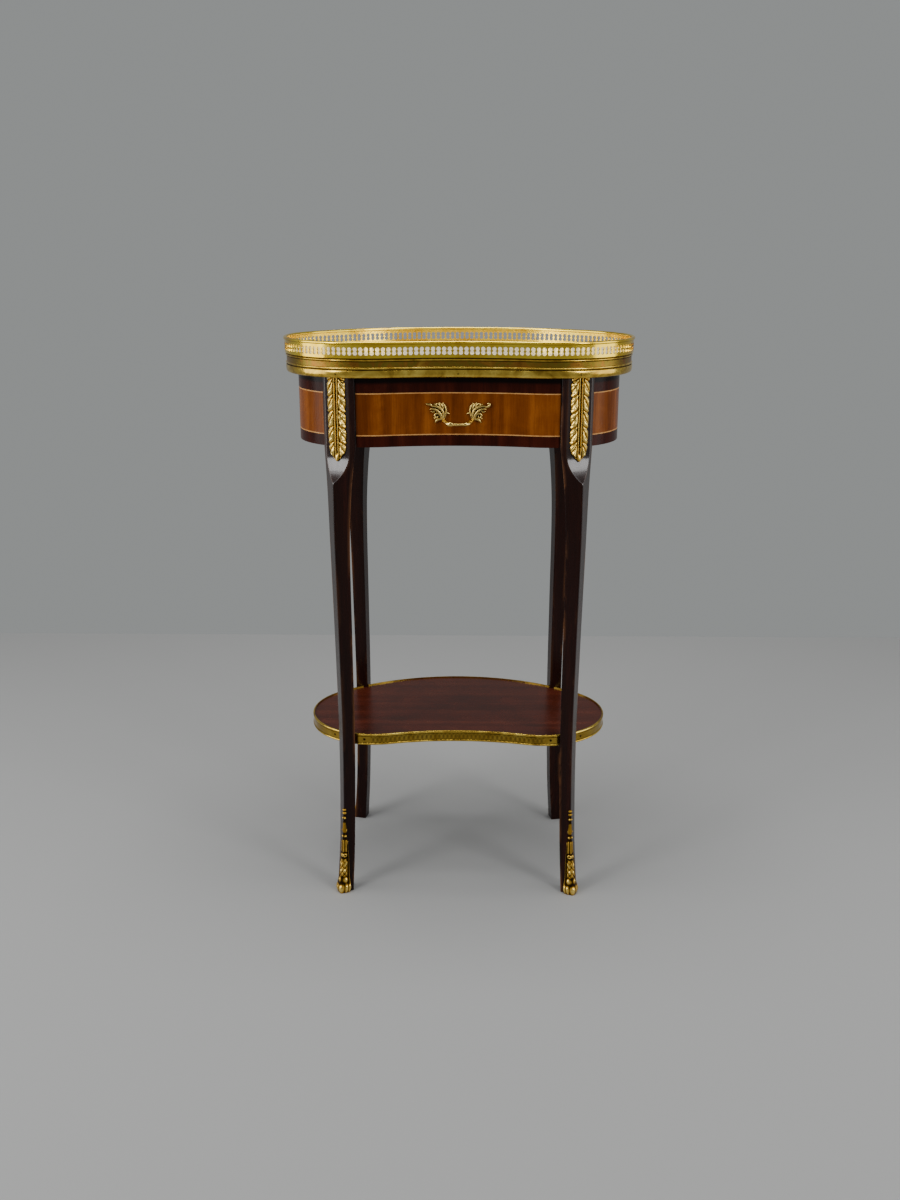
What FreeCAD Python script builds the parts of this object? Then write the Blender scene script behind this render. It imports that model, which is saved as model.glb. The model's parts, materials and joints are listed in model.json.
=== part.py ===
import FreeCAD, Part
import math
import os

import Sketcher

Vector = FreeCAD.Vector
doc = FreeCAD.newDocument("kidney_side_table")
dims = doc.addObject("Spreadsheet::Sheet", "dims")

# Driving sizes in millimetres, angles in degrees
SIZES = (
    # plan of the top: two end arcs, a bowed back and a hollow front
    ("top_width", 440),
    ("end_radius", 109),
    ("back_radius", 277),
    ("front_radius", 338),
    ("end_centre_y", -18),
    # frame under the top
    ("apron_base", 598),
    ("apron_height", 84),
    ("apron_inset", 17.3),
    ("veneer_thickness", 1.2),
    ("rail_thickness", 15),
    ("lower_band_height", 13.5),
    ("upper_band_height", 19),
    ("string_width", 1.3),
    ("glue_line", 0.1),
    ("front_rail_depth", 24),
    ("front_rail_thickness", 11),
    ("front_rail_lift", 1),
    ("glue_block_width", 30),
    ("glue_block_depth", 16),
    ("glue_block_height", 18),
    ("glue_block_place", 60),
    # marble top, brass edge and pierced gallery
    ("top_board_thickness", 10),
    ("marble_thickness", 14.5),
    ("marble_gap", 0.4),
    ("moulding_height", 23.5),
    ("moulding_inset", 2.2),
    ("moulding_thickness", 3.4),
    ("moulding_relief", 0.9),
    ("moulding_bead", 2.4),
    ("moulding_skirt", 9),
    ("gallery_inset", 1.5),
    ("gallery_thickness", 1.5),
    ("gallery_height", 16),
    ("gallery_bead_width", 4.2),
    ("gallery_bead_height", 3.5),
    ("piercing_count", 172),
    ("piercing_radius", 2.5),
    ("piercing_spread", 4.4),
    ("piercing_lift", 3.3),
    # legs: each turns about a vertical line on the apron's face
    ("front_leg_angle", 21),
    ("back_leg_setback", 82.4),
    ("facet_width", 32),
    ("facet_proud", 5.5),
    ("facet_below_apron", 6),
    ("facet_scoop_radius", 50),
    ("leg_chamfer", 1.6),
    ("foot_reach", 18.2),
    ("foot_side", 17),
    ("ankle_height", 75),
    ("ankle_reach", 8.5),
    ("ankle_side", 16),
    ("waist_reach", 2.5),
    ("waist_side", 16.6),
    ("calf_height", 345),
    ("calf_reach", 4.3),
    ("calf_side", 17.8),
    ("knee_height", 480),
    ("knee_reach", 7),
    ("knee_side", 20),
    ("neck_drop", 53),
    ("neck_reach", 4.5),
    ("neck_side", 23.8),
    ("joint_gap", 0.1),
    # gilt mounts on the legs
    ("chute_length", 101),
    ("chute_width", 24),
    ("chute_thickness", 3.8),
    ("chute_crown_radius", 24),
    ("chute_rib_radius", 1.7),
    ("sabot_height", 120),
    ("sabot_neck_height", 76),
    ("sabot_wing_height", 42),
    ("sabot_thickness", 2),
    ("sabot_toe_thickness", 3),
    ("sabot_toe_wrap", 10),
    ("sabot_wing_wrap", 7.5),
    ("sabot_neck_wrap", 2.6),
    # lower shelf
    ("shelf_height", 204.5),
    ("shelf_thickness", 13.5),
    ("shelf_inset", 20.3),
    ("shelf_band_height", 15),
    ("shelf_band_thickness", 2.2),
    ("shelf_bead", 2.6),
    ("shelf_bead_relief", 0.7),
    # drawer
    ("drawer_gap", 0.7),
    ("drawer_back_gap", 0.5),
    ("slide_gap", 0.3),
    ("drawer_side_setback", 8),
    ("drawer_box_back", 52),
    ("drawer_side_thickness", 8),
    ("drawer_side_height", 56),
    ("drawer_back_thickness", 9),
    ("drawer_bottom_thickness", 4.5),
    ("drawer_groove_depth", 4),
    ("drawer_groove_lift", 5),
    ("drawer_joint_depth", 8),
    ("runner_width", 14),
    ("runner_thickness", 10),
    ("guide_thickness", 8),
    ("guide_height", 18),
    # pull
    ("pull_height", 629),
    ("pull_leaf_width", 28.3),
    ("pull_leaf_height", 25.8),
    ("pull_leaf_thickness", 4),
    ("pull_bow_span", 34),
    ("pull_bow_reach", 15),
    ("pull_bow_diameter", 4.4),
    ("pull_bolt_place", 22),
    ("pull_bolt_lift", 9),
    ("pull_bolt_diameter", 4),
    ("pull_socket_depth", 2),
    ("pull_nut_width", 8),
    ("pull_nut_thickness", 3.2),
    # fastenings
    ("dowel_diameter", 6),
    ("dowel_length", 23),
    ("dowel_start", 3),
    ("dowel_setback", 10),
    ("dowel_low", 22),
    ("dowel_high", 64),
    ("shelf_dowel_diameter", 5),
    ("shelf_dowel_length", 26),
    ("pin_diameter", 1.6),
    ("pin_length", 11),
    ("pin_margin", 6),
    ("nail_diameter", 1.6),
    ("nail_length", 12),
    ("nail_head_diameter", 3.2),
    ("nail_head_height", 0.8),
    ("screw_diameter", 3.5),
    ("screw_bite", 7),
    ("screw_head_diameter", 7),
    ("screw_angle", 11),
    ("fit_gap", 0.1),
)
for row, (alias, number) in enumerate(SIZES, 1):
    dims.set(f"A{row}", alias)
    dims.set(f"B{row}", str(number))
    dims.setAlias(f"B{row}", alias)
doc.recompute()

# Places that several pieces share, as expressions on the sheet
END_X = "(dims.top_width / 2 - dims.end_radius)"
END_Y = "dims.end_centre_y"
BACK_Y = f"({END_Y} - sqrt((dims.back_radius - dims.end_radius)^2 - {END_X}^2))"
FRONT_Y = f"({END_Y} - sqrt((dims.front_radius + dims.end_radius)^2 - {END_X}^2))"
FRONT_FACE_Y = f"({FRONT_Y} + dims.front_radius)"
APRON_TOP = "(dims.apron_base + dims.apron_height)"
CORE_INSET = "(dims.apron_inset + dims.veneer_thickness + dims.glue_line)"
INNER_INSET = f"({CORE_INSET} + dims.rail_thickness)"
FRONT_RAIL_INSET = f"({INNER_INSET} + dims.drawer_back_gap)"
MOULDING_INNER = "(dims.moulding_inset + dims.moulding_thickness)"
GALLERY_BASE = f"({APRON_TOP} + dims.moulding_height)"
GALLERY_TOP = f"({GALLERY_BASE} + dims.gallery_height)"
BLOCK_HALF = "(dims.facet_width / 2 + dims.facet_proud)"
CHAMFER = "(dims.leg_chamfer / 2)"
SHELF_BOARD_INSET = "(dims.shelf_inset + dims.shelf_band_thickness + dims.glue_line)"
SHELF_MIDDLE = "(dims.shelf_height + dims.shelf_thickness / 2)"
SHELF_TOP = "(dims.shelf_height + dims.shelf_thickness)"
RUNNER_TOP = "(dims.apron_base + dims.front_rail_lift + dims.front_rail_thickness)"
DRAWER_FLOOR = f"({RUNNER_TOP} + dims.slide_gap)"
FAR = "dims.top_width"


def value(expression):
    return float(dims.evalExpression(str(expression)))


def half_diagonal(side):
    return f"(({side}) / sqrt(2))"


# Each leg stands on the apron's face, turned so that its local X points straight out of the table
APRON_END_RADIUS = "(dims.end_radius - dims.apron_inset)"
APRON_BACK_RADIUS = "(dims.back_radius - dims.apron_inset)"
FRONT_LEG_X = f"({END_X} + {APRON_END_RADIUS} * sin(dims.front_leg_angle))"
FRONT_LEG_Y = f"({END_Y} - {APRON_END_RADIUS} * cos(dims.front_leg_angle))"
BACK_LEG_X = "(dims.top_width / 2 - dims.back_leg_setback)"
BACK_LEG_Y = f"({BACK_Y} + sqrt({APRON_BACK_RADIUS}^2 - {BACK_LEG_X}^2))"
BACK_LEG_ANGLE = f"(asin({BACK_LEG_X} / {APRON_BACK_RADIUS}) / 1 deg)"
LEGS = {
    "front_left": (f"(-{FRONT_LEG_X})", FRONT_LEG_Y, "(-90 - dims.front_leg_angle)"),
    "front_right": (FRONT_LEG_X, FRONT_LEG_Y, "(dims.front_leg_angle - 90)"),
    "back_left": (f"(-{BACK_LEG_X})", BACK_LEG_Y, f"(90 + {BACK_LEG_ANGLE})"),
    "back_right": (BACK_LEG_X, BACK_LEG_Y, f"(90 - {BACK_LEG_ANGLE})"),
}
DRAWER_FRONT_HALF = (
    f"({FRONT_LEG_X} - {BLOCK_HALF} * cos(dims.front_leg_angle) - dims.drawer_gap)"
)
DRAWER_HALF = f"({DRAWER_FRONT_HALF} - dims.drawer_side_setback)"
# The bays between the legs: each end names a leg and the side of it, +1 or -1 along its local Y
BAYS = {
    "front": (("front_left", 1), ("front_right", -1)),
    "right": (("front_right", 1), ("back_right", -1)),
    "back": (("back_right", 1), ("back_left", -1)),
    "left": (("back_left", 1), ("front_left", -1)),
}
# Far corners that close the cut-away region of each bay, the long way round
BAY_CORNERS = {
    "front": ((1, -1), (1, 1), (-1, 1), (-1, -1)),
    "right": ((1, 1), (-1, 1), (-1, -1), (1, -1)),
    "back": ((-1, 1), (-1, -1), (1, -1), (1, 1)),
    "left": ((-1, -1), (1, -1), (1, 1), (-1, 1)),
}


def leg_point(leg, along, across):
    x, y, turn = LEGS[leg]
    return (
        f"({x} + ({along}) * cos({turn}) - ({across}) * sin({turn}))",
        f"({y} + ({along}) * sin({turn}) + ({across}) * cos({turn}))",
    )


def leg_placement(leg):
    x, y, turn = (value(term) for term in LEGS[leg])
    return FreeCAD.Placement(Vector(x, y, 0), FreeCAD.Rotation(Vector(0, 0, 1), turn))


def stand_at_leg(body, leg):
    x, y, turn = LEGS[leg]
    body.setExpression("Placement.Base.x", x)
    body.setExpression("Placement.Base.y", y)
    body.setExpression("Placement.Rotation.Angle", turn)


# Sketch helpers: every size is a constraint bound to the sheet
def new_body(label):
    body = doc.addObject("PartDesign::Body", label)
    body.Label = label
    return body


def sketch_on(body, role, offset="0"):
    plane = next(item for item in body.Origin.OriginFeatures if item.Role == role)
    sketch = body.newObject("Sketcher::SketchObject", f"{body.Label}_sketch")
    sketch.AttachmentSupport = [(plane, "")]
    sketch.MapMode = "FlatFace"
    sketch.setExpression("AttachmentOffset.Base.z", offset)
    return sketch


def constrain(sketch, kind, elements, expression):
    index = sketch.addConstraint(Sketcher.Constraint(kind, *elements, value(expression)))
    sketch.setExpression(f"Constraints[{index}]", expression)


def place_point(sketch, geometry, point, x, y):
    constrain(sketch, "DistanceX", (-1, 1, geometry, point), x)
    constrain(sketch, "DistanceY", (-1, 1, geometry, point), y)


def polygon(sketch, corners):
    first = sketch.GeometryCount
    count = len(corners)
    places = [Vector(value(x), value(y), 0) for x, y in corners]
    for i, place in enumerate(places):
        sketch.addGeometry(Part.LineSegment(place, places[(i + 1) % count]), False)
    for i in range(count):
        following = first + (i + 1) % count
        sketch.addConstraint(Sketcher.Constraint("Coincident", first + i, 2, following, 1))
    for i, (x, y) in enumerate(corners):
        place_point(sketch, first + i, 1, x, y)


def rectangle(sketch, x_low, x_high, y_low, y_high):
    polygon(sketch, ((x_low, y_low), (x_high, y_low), (x_high, y_high), (x_low, y_high)))


def circle(sketch, x, y, radius):
    centre = Vector(value(x), value(y), 0)
    item = sketch.addGeometry(Part.Circle(centre, Vector(0, 0, 1), value(radius)), False)
    place_point(sketch, item, 3, x, y)
    constrain(sketch, "Radius", (item,), radius)


def outline_arcs(inset):
    """Centre, radius, start and end angle of the right, back, left and front arcs."""
    end_x, end_y = value(END_X), value(END_Y)
    back_y, front_y = value(BACK_Y), value(FRONT_Y)
    back_turn = math.atan2(end_y - back_y, end_x)
    front_turn = math.atan2(end_y - front_y, end_x)
    end_radius = value("dims.end_radius") - inset
    return (
        (end_x, end_y, end_radius, front_turn - math.pi, back_turn),
        (0, back_y, value("dims.back_radius") - inset, back_turn, math.pi - back_turn),
        (-end_x, end_y, end_radius, math.pi - back_turn, 2 * math.pi - front_turn),
        (0, front_y, value("dims.front_radius") + inset, front_turn, math.pi - front_turn),
    )


def outline(sketch, inset):
    """The kidney plan of the top, drawn in by inset, as four tangent arcs."""
    items = []
    for x, y, radius, start, end in outline_arcs(value(inset)):
        ring = Part.Circle(Vector(x, y, 0), Vector(0, 0, 1), radius)
        items.append(sketch.addGeometry(Part.ArcOfCircle(ring, start, end), False))
    right, back, left, front = items
    for pair in ((right, 2, back, 1), (back, 2, left, 1), (left, 2, front, 2), (front, 1, right, 1)):
        sketch.addConstraint(Sketcher.Constraint("Tangent", *pair))
    place_point(sketch, right, 3, END_X, END_Y)
    place_point(sketch, left, 3, f"-{END_X}", END_Y)
    for end in (right, left):
        constrain(sketch, "Radius", (end,), f"dims.end_radius - ({inset})")
    constrain(sketch, "Radius", (back,), f"dims.back_radius - ({inset})")
    constrain(sketch, "Radius", (front,), f"dims.front_radius + ({inset})")


def pad(body, sketch, length):
    feature = body.newObject("PartDesign::Pad", f"{body.Label}_pad")
    feature.Profile = sketch
    feature.setExpression("Length", length)
    return feature


def cut_through(body, sketch):
    """Cut everything under the sketch, against its normal."""
    feature = body.newObject("PartDesign::Pocket", f"{body.Label}_cut")
    feature.Profile = sketch
    feature.Type = "ThroughAll"
    return feature


def cut_depth(body, sketch, length):
    feature = body.newObject("PartDesign::Pocket", f"{body.Label}_cut")
    feature.Profile = sketch
    feature.setExpression("Length", length)
    return feature


def sweep_round(body, path, profile):
    feature = body.newObject("PartDesign::AdditivePipe", f"{body.Label}_sweep")
    feature.Profile = profile
    feature.Spine = (path, [])
    return feature


def ring_pad(body, outer, inner, low, high):
    sketch = sketch_on(body, "XY_Plane", low)
    outline(sketch, outer)
    outline(sketch, inner)
    return pad(body, sketch, f"{high} - ({low})")


def trim_to_outline(body, inset, high):
    """Keep only what lies inside the plan drawn in by inset."""
    sketch = sketch_on(body, "XY_Plane", high)
    rectangle(sketch, f"-{FAR}", FAR, f"-{FAR}", FAR)
    outline(sketch, inset)
    return cut_through(body, sketch)


def bay_cut(bay, reach, half):
    """Plan of what lies outside a bay, whose ends follow the inner faces of two square legs."""
    run_out = 6
    run_in = -1.2
    ends = []
    for leg, side in BAYS[bay]:
        for run in (run_in, run_out):
            ends.append(leg_point(leg, f"{reach} - {half} * {1 - run}", f"{side * run} * {half}"))
    start_in, start_out, end_in, end_out = ends
    corners = [(f"{sx} * {FAR}", f"{sy} * {FAR}") for sx, sy in BAY_CORNERS[bay]]
    return [start_in, start_out] + corners[::-1] + [end_out, end_in]


pieces = []


def keep(piece, label=None):
    if label:
        piece.Label = label
    pieces.append(piece)
    return piece


def bored(body, label):
    """The body with the bores of its fastenings cut out."""
    cut = doc.addObject("Part::Cut", label)
    cut.Base = body
    cut.Tool = bores
    return keep(cut, label)


# Points along the plan, for what is spaced round it
def outline_walk(inset):
    """Function of the run along the plan from the middle of the front, and the whole run."""
    right, back, left, front = outline_arcs(inset)
    fx, fy, front_radius, front_start, front_end = front
    middle = (front_start + front_end) / 2
    runs = [(fx, fy, front_radius, middle, front_start, -1)]
    runs += [(*arc, 1) for arc in (right, back, left)]
    runs.append((fx, fy, front_radius, front_end, middle, -1))
    lengths = [radius * abs(end - start) for _, _, radius, start, end, _ in runs]

    def at(run):
        for (x, y, radius, start, end, side), length in zip(runs, lengths):
            if run <= length:
                angle = start + (end - start) * run / length
                foot = Vector(x + radius * math.cos(angle), y + radius * math.sin(angle), 0)
                return foot, Vector(side * math.cos(angle), side * math.sin(angle), 0)
            run -= length
        raise ValueError("the run is longer than the plan")

    return at, sum(lengths)


# Fastenings: straight round pegs with a place, a direction and a size
def peg(place, direction, length, diameter):
    return Part.makeCylinder(diameter / 2, length, place, direction)


def nail(place, direction, length, diameter, head_diameter, head_height):
    """A nail driven inwards at place; direction points out of the work."""
    shank_radius, head_radius = diameter / 2, head_diameter / 2
    corners = [
        Vector(0, 0, head_height),
        Vector(0, 0, -length),
        Vector(shank_radius, 0, -length),
        Vector(shank_radius, 0, 0),
        Vector(head_radius, 0, 0),
    ]
    edges = [Part.makeLine(p, q) for p, q in zip(corners, corners[1:])]
    ball = (head_radius**2 + head_height**2) / (2 * head_height)
    turn = math.asin(head_radius / ball) / 2
    crown = Vector(ball * math.sin(turn), 0, head_height - ball + ball * math.cos(turn))
    edges.append(Part.Arc(corners[-1], crown, corners[0]).toShape())
    solid = Part.Face(Part.Wire(edges)).revolve(Vector(0, 0, 0), Vector(0, 0, 1), 360)
    solid.Placement = FreeCAD.Placement(place, FreeCAD.Rotation(Vector(0, 0, 1), direction))
    return solid


FIT = value("dims.fit_gap")
bore_solids = []
fastening_solids = {}


def fasten(group, solid, place, direction, length, diameter):
    fastening_solids.setdefault(group, []).append(solid)
    start = place - direction * FIT
    bore_solids.append(peg(start, direction, length + 2 * FIT, diameter + 2 * FIT))


def add_dowel(group, leg, along, across, lift, direction, length, diameter):
    spot = leg_placement(leg)
    place = spot.multVec(Vector(along, across, lift))
    way = spot.Rotation.multVec(direction)
    fasten(group, peg(place, way, length, diameter), place, way, length, diameter)


def add_rail_dowels():
    length, diameter = value("dims.dowel_length"), value("dims.dowel_diameter")
    start, setback = value("dims.dowel_start"), value("dims.dowel_setback")
    for bay in ("right", "back", "left"):
        for leg, side in BAYS[bay]:
            for lift in ("dowel_low", "dowel_high"):
                height = value(f"dims.apron_base + dims.{lift}")
                way = Vector(0, side, 0)
                add_dowel("rail_dowels", leg, -setback, side * start, height, way, length, diameter)


def add_shelf_dowels():
    length, diameter = value("dims.shelf_dowel_length"), value("dims.shelf_dowel_diameter")
    start = value("dims.waist_reach")
    for leg in LEGS:
        add_dowel("shelf_dowels", leg, start, 0, value(SHELF_MIDDLE), Vector(-1, 0, 0), length, diameter)


def add_mount_pins():
    length, diameter = value("dims.pin_length"), value("dims.pin_diameter")
    chute_face = value("dims.facet_proud + dims.chute_thickness")
    shoe_face = value(f"dims.ankle_reach + {half_diagonal('dims.ankle_side')} - {CHAMFER} + dims.sabot_thickness")
    spots = (
        (chute_face, value(f"{APRON_TOP} - dims.pin_margin")),
        (chute_face, value(f"{APRON_TOP} - dims.chute_length + 3 * dims.pin_margin")),
        (shoe_face, value("dims.sabot_neck_height")),
    )
    for leg in LEGS:
        for along, height in spots:
            add_dowel("mount_pins", leg, along, 0, height, Vector(-1, 0, 0), length, diameter)


def add_band_nails(group, inset, height, shares):
    length, diameter = value("dims.nail_length"), value("dims.nail_diameter")
    head, head_height = value("dims.nail_head_diameter"), value("dims.nail_head_height")
    at, whole = outline_walk(inset)
    for share in shares:
        foot, way = at(share * whole)
        place = foot + way * (FIT / 2) + Vector(0, 0, height)
        solid = nail(place, way, length, diameter, head, head_height)
        fasten(group, solid, place, way * -1, length, diameter)


def add_top_screws():
    diameter, head = value("dims.screw_diameter"), value("dims.screw_head_diameter")
    rail_foot = value(f"{APRON_TOP} - dims.front_rail_thickness")
    block_foot = value(f"{APRON_TOP} - dims.glue_block_height")
    turn = math.radians(value("dims.screw_angle"))
    front_run = value(f"dims.front_radius + {FRONT_RAIL_INSET} + dims.front_rail_depth / 2")
    block_x = value("dims.glue_block_place")
    block_y = value(f"{GLUE_BLOCK_FRONT} + dims.glue_block_depth / 2")
    for side in (-1, 1):
        front = (side * front_run * math.sin(turn), value(FRONT_Y) + front_run * math.cos(turn), rail_foot)
        for x, y, foot in (front, (side * block_x, block_y, block_foot)):
            place = Vector(x, y, foot)
            up = Vector(0, 0, 1)
            length = value(APRON_TOP) - foot + value("dims.screw_bite")
            sink = (head - diameter) / 2
            cone = Part.makeCone(head / 2, diameter / 2, sink, place, up)
            fasten("top_screws", peg(place, up, length, diameter).fuse(cone), place, up, length, diameter)
            bore_solids[-1] = bore_solids[-1].fuse(
                Part.makeCone(head / 2 + FIT, diameter / 2 + FIT, sink, place, up)
            )


GLUE_BLOCK_EDGE = "(dims.glue_block_place + dims.glue_block_width / 2)"
GLUE_BLOCK_FRONT = (
    f"({BACK_Y} + sqrt((dims.back_radius - {INNER_INSET})^2 - {GLUE_BLOCK_EDGE}^2) - dims.glue_block_depth)"
)
SKIRT_MIDDLE = f"({APRON_TOP} + dims.moulding_skirt / 2)"
MOULDING_NAIL_SHARES = (0, 0.13, 0.25, 0.37, 0.5, 0.63, 0.75, 0.87)
SHELF_NAIL_SHARES = (0, 0.121, 0.164, 0.25, 0.33, 0.44, 0.5, 0.56, 0.67, 0.75, 0.836, 0.879)

add_rail_dowels()
add_shelf_dowels()
add_mount_pins()
add_band_nails(
    "moulding_nails",
    value("dims.moulding_inset + dims.moulding_relief"),
    value(SKIRT_MIDDLE),
    MOULDING_NAIL_SHARES,
)
add_band_nails(
    "shelf_nails",
    value("dims.shelf_inset + dims.shelf_bead_relief"),
    value("dims.shelf_height + dims.shelf_band_height / 2"),
    SHELF_NAIL_SHARES,
)
add_top_screws()

bores = doc.addObject("Part::Feature", "fastening_bores")
bores.Shape = Part.makeCompound(bore_solids)
for group, solids in fastening_solids.items():
    feature = doc.addObject("Part::Feature", group)
    feature.Shape = Part.makeCompound(solids)
    keep(feature, group)


# Marble slab on its board
def make_top():
    board = new_body("top_board_blank")
    sketch = sketch_on(board, "XY_Plane", APRON_TOP)
    outline(sketch, f"{MOULDING_INNER} + dims.glue_line")
    pad(board, sketch, "dims.top_board_thickness")
    bored(board, "top_board")

    marble = keep(new_body("marble_top"))
    sketch = sketch_on(marble, "XY_Plane", f"{APRON_TOP} + dims.top_board_thickness")
    outline(sketch, f"{MOULDING_INNER} + dims.marble_gap")
    pad(marble, sketch, "dims.marble_thickness")


# Brass edge of the top: a skirt, a bead, a flat and a second bead
def make_moulding():
    body = new_body("edge_moulding_bar")
    path = sketch_on(body, "XY_Plane", APRON_TOP)
    outline(path, "0")
    flat = "dims.moulding_inset + dims.moulding_relief"
    slope = "dims.moulding_relief"
    corners = (
        (MOULDING_INNER, "0"),
        (f"{flat} + dims.moulding_relief", "0"),
        (flat, f"2 * {slope}"),
        (flat, "dims.moulding_skirt"),
        ("dims.moulding_inset", f"dims.moulding_skirt + {slope}"),
        ("dims.moulding_inset", "dims.moulding_skirt + dims.moulding_bead"),
        (flat, f"dims.moulding_skirt + dims.moulding_bead + {slope}"),
        (flat, f"dims.moulding_height - dims.moulding_bead - {slope}"),
        ("dims.moulding_inset", "dims.moulding_height - dims.moulding_bead"),
        ("dims.moulding_inset", "dims.moulding_height"),
        (MOULDING_INNER, "dims.moulding_height"),
    )
    profile = sketch_on(body, "YZ_Plane")
    polygon(profile, [(f"{FRONT_FACE_Y} + {inset}", f"{APRON_TOP} + {lift}") for inset, lift in corners])
    sweep_round(body, path, profile)
    bored(body, "edge_moulding")


# Pierced brass gallery with a half-round bead along its top
def piercing(foot, outward):
    """A cutter of two lobes, one over the other, through the gallery at foot."""
    radius = value("dims.piercing_radius")
    spread = value("dims.piercing_spread")
    low = value(f"{GALLERY_BASE} + dims.piercing_lift") + radius
    waist = math.sqrt(max(radius**2 - (spread / 2) ** 2, 0.0))
    across = Vector(-outward.y, outward.x, 0)
    depth = value("dims.gallery_thickness")
    start = foot - outward * (2 * depth)

    def spot(side, lift):
        return start + across * side + Vector(0, 0, lift)

    if waist == 0:
        lobes = [Part.Circle(spot(0, low + lift), outward, radius) for lift in (0, spread)]
        faces = [Part.Face(Part.Wire(lobe.toShape())) for lobe in lobes]
    else:
        top = Part.Arc(spot(waist, low + spread / 2), spot(0, low + spread + radius), spot(-waist, low + spread / 2))
        base = Part.Arc(spot(-waist, low + spread / 2), spot(0, low - radius), spot(waist, low + spread / 2))
        faces = [Part.Face(Part.Wire([top.toShape(), base.toShape()]))]
    return [face.extrude(outward * (4 * depth)) for face in faces]


def make_gallery():
    wall = new_body("gallery_strip")
    inner = "dims.gallery_inset + dims.gallery_thickness"
    ring_pad(wall, "dims.gallery_inset", inner, GALLERY_BASE, GALLERY_TOP)

    at, whole = outline_walk(value("dims.gallery_inset + dims.gallery_thickness / 2"))
    count = round(value("dims.piercing_count"))
    cutters = []
    for number in range(count):
        cutters += piercing(*at(whole * (number + 0.5) / count))
    holes = doc.addObject("Part::Feature", "gallery_piercings")
    holes.Shape = Part.makeCompound(cutters)
    pierced = doc.addObject("Part::Cut", "pierced_gallery")
    pierced.Base = wall
    pierced.Tool = holes
    keep(pierced, "pierced_gallery")

    bead = keep(new_body("gallery_bead"))
    path = sketch_on(bead, "XY_Plane", GALLERY_TOP)
    outline(path, "0")
    profile = sketch_on(bead, "YZ_Plane")
    shoulder = "dims.gallery_bead_width / 4"
    width, height = "dims.gallery_bead_width", "dims.gallery_bead_height"
    corners = (
        ("0", "0"),
        (width, "0"),
        (width, f"{height} / 2"),
        (f"{width} - {shoulder}", height),
        (shoulder, height),
        ("0", f"{height} / 2"),
    )
    polygon(profile, [(f"{FRONT_FACE_Y} + {inset}", f"{GALLERY_TOP} + {lift}") for inset, lift in corners])
    sweep_round(bead, path, profile)


# Curved boards of the apron: a core faced with a panel, two bands and two strings
LOWER_STRING = "(dims.apron_base + dims.lower_band_height)"
UPPER_STRING = f"({APRON_TOP} - dims.upper_band_height)"
VENEERS = {
    "panel": ((f"{LOWER_STRING} + dims.string_width", f"{UPPER_STRING} - dims.string_width"),),
    "banding": (("dims.apron_base", LOWER_STRING), (UPPER_STRING, None)),
    "stringing": (
        (LOWER_STRING, f"{LOWER_STRING} + dims.string_width"),
        (f"{UPPER_STRING} - dims.string_width", UPPER_STRING),
    ),
}


def bay_piece(label, region, outer, inner, levels, high):
    """Lengths of the plan's ring between two insets, cut to one bay."""
    body = new_body(label)
    for level_low, level_high in levels:
        ring_pad(body, outer, inner, level_low, level_high)
    sketch = sketch_on(body, "XY_Plane", high)
    polygon(sketch, region)
    cut_through(body, sketch)
    return body


def face_with_veneer(name, region, high):
    outer, inner = "dims.apron_inset", "dims.apron_inset + dims.veneer_thickness"
    for layer, levels in VENEERS.items():
        filled = [(low, top or high) for low, top in levels]
        keep(bay_piece(f"{name}_{layer}", region, outer, inner, filled, high))


BLOCK_CUT = f"({BLOCK_HALF} + dims.joint_gap * sqrt(2))"


def make_apron():
    for bay in ("left", "right", "back"):
        region = bay_cut(bay, "0", BLOCK_CUT)
        levels = [("dims.apron_base", APRON_TOP)]
        core = bay_piece(f"{bay}_rail_blank", region, CORE_INSET, INNER_INSET, levels, APRON_TOP)
        bored(core, f"{bay}_rail")
        face_with_veneer(f"{bay}_apron", region, APRON_TOP)

    region = bay_cut("front", "0", BLOCK_CUT)
    inner = f"{FRONT_RAIL_INSET} + dims.front_rail_depth"
    lift = "dims.apron_base + dims.front_rail_lift"
    spans = {
        "front_bottom_rail": (lift, f"{lift} + dims.front_rail_thickness"),
        "front_top_rail": (f"{APRON_TOP} - dims.front_rail_thickness", APRON_TOP),
    }
    for label, (low, high) in spans.items():
        blank = bay_piece(f"{label}_blank", region, FRONT_RAIL_INSET, inner, [(low, high)], high)
        bored(blank, label)

    blocks = new_body("glue_blocks_blank")
    sketch = sketch_on(blocks, "XY_Plane", f"{APRON_TOP} - dims.glue_block_height")
    near = "(dims.glue_block_place - dims.glue_block_width / 2)"
    for left, right in ((near, GLUE_BLOCK_EDGE), (f"-{GLUE_BLOCK_EDGE}", f"-{near}")):
        rectangle(sketch, left, right, GLUE_BLOCK_FRONT, f"{GLUE_BLOCK_FRONT} + 2 * dims.glue_block_depth")
    pad(blocks, sketch, "dims.glue_block_height")
    trim_to_outline(blocks, f"{INNER_INSET} + dims.glue_line", APRON_TOP)
    bored(blocks, "glue_blocks")


# Cabriole legs: square, set corner outwards, with the outer corner just blunted
LEG_STATIONS = (
    ("0", "dims.foot_reach", half_diagonal("dims.foot_side")),
    ("dims.ankle_height", "dims.ankle_reach", half_diagonal("dims.ankle_side")),
    (SHELF_MIDDLE, "dims.waist_reach", half_diagonal("dims.waist_side")),
    ("dims.calf_height", "dims.calf_reach", half_diagonal("dims.calf_side")),
    ("dims.knee_height", "dims.knee_reach", half_diagonal("dims.knee_side")),
    ("dims.apron_base - dims.neck_drop", "dims.neck_reach", half_diagonal("dims.neck_side")),
    ("dims.apron_base", "0", BLOCK_HALF),
)


def leg_section(body, height, reach, half):
    sketch = sketch_on(body, "XY_Plane", height)
    face = f"{reach} + {half} - {CHAMFER}"
    polygon(
        sketch,
        (
            (f"{reach} - {half}", "0"),
            (reach, f"-{half}"),
            (face, f"-{CHAMFER}"),
            (face, CHAMFER),
            (reach, half),
        ),
    )
    return sketch


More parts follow.
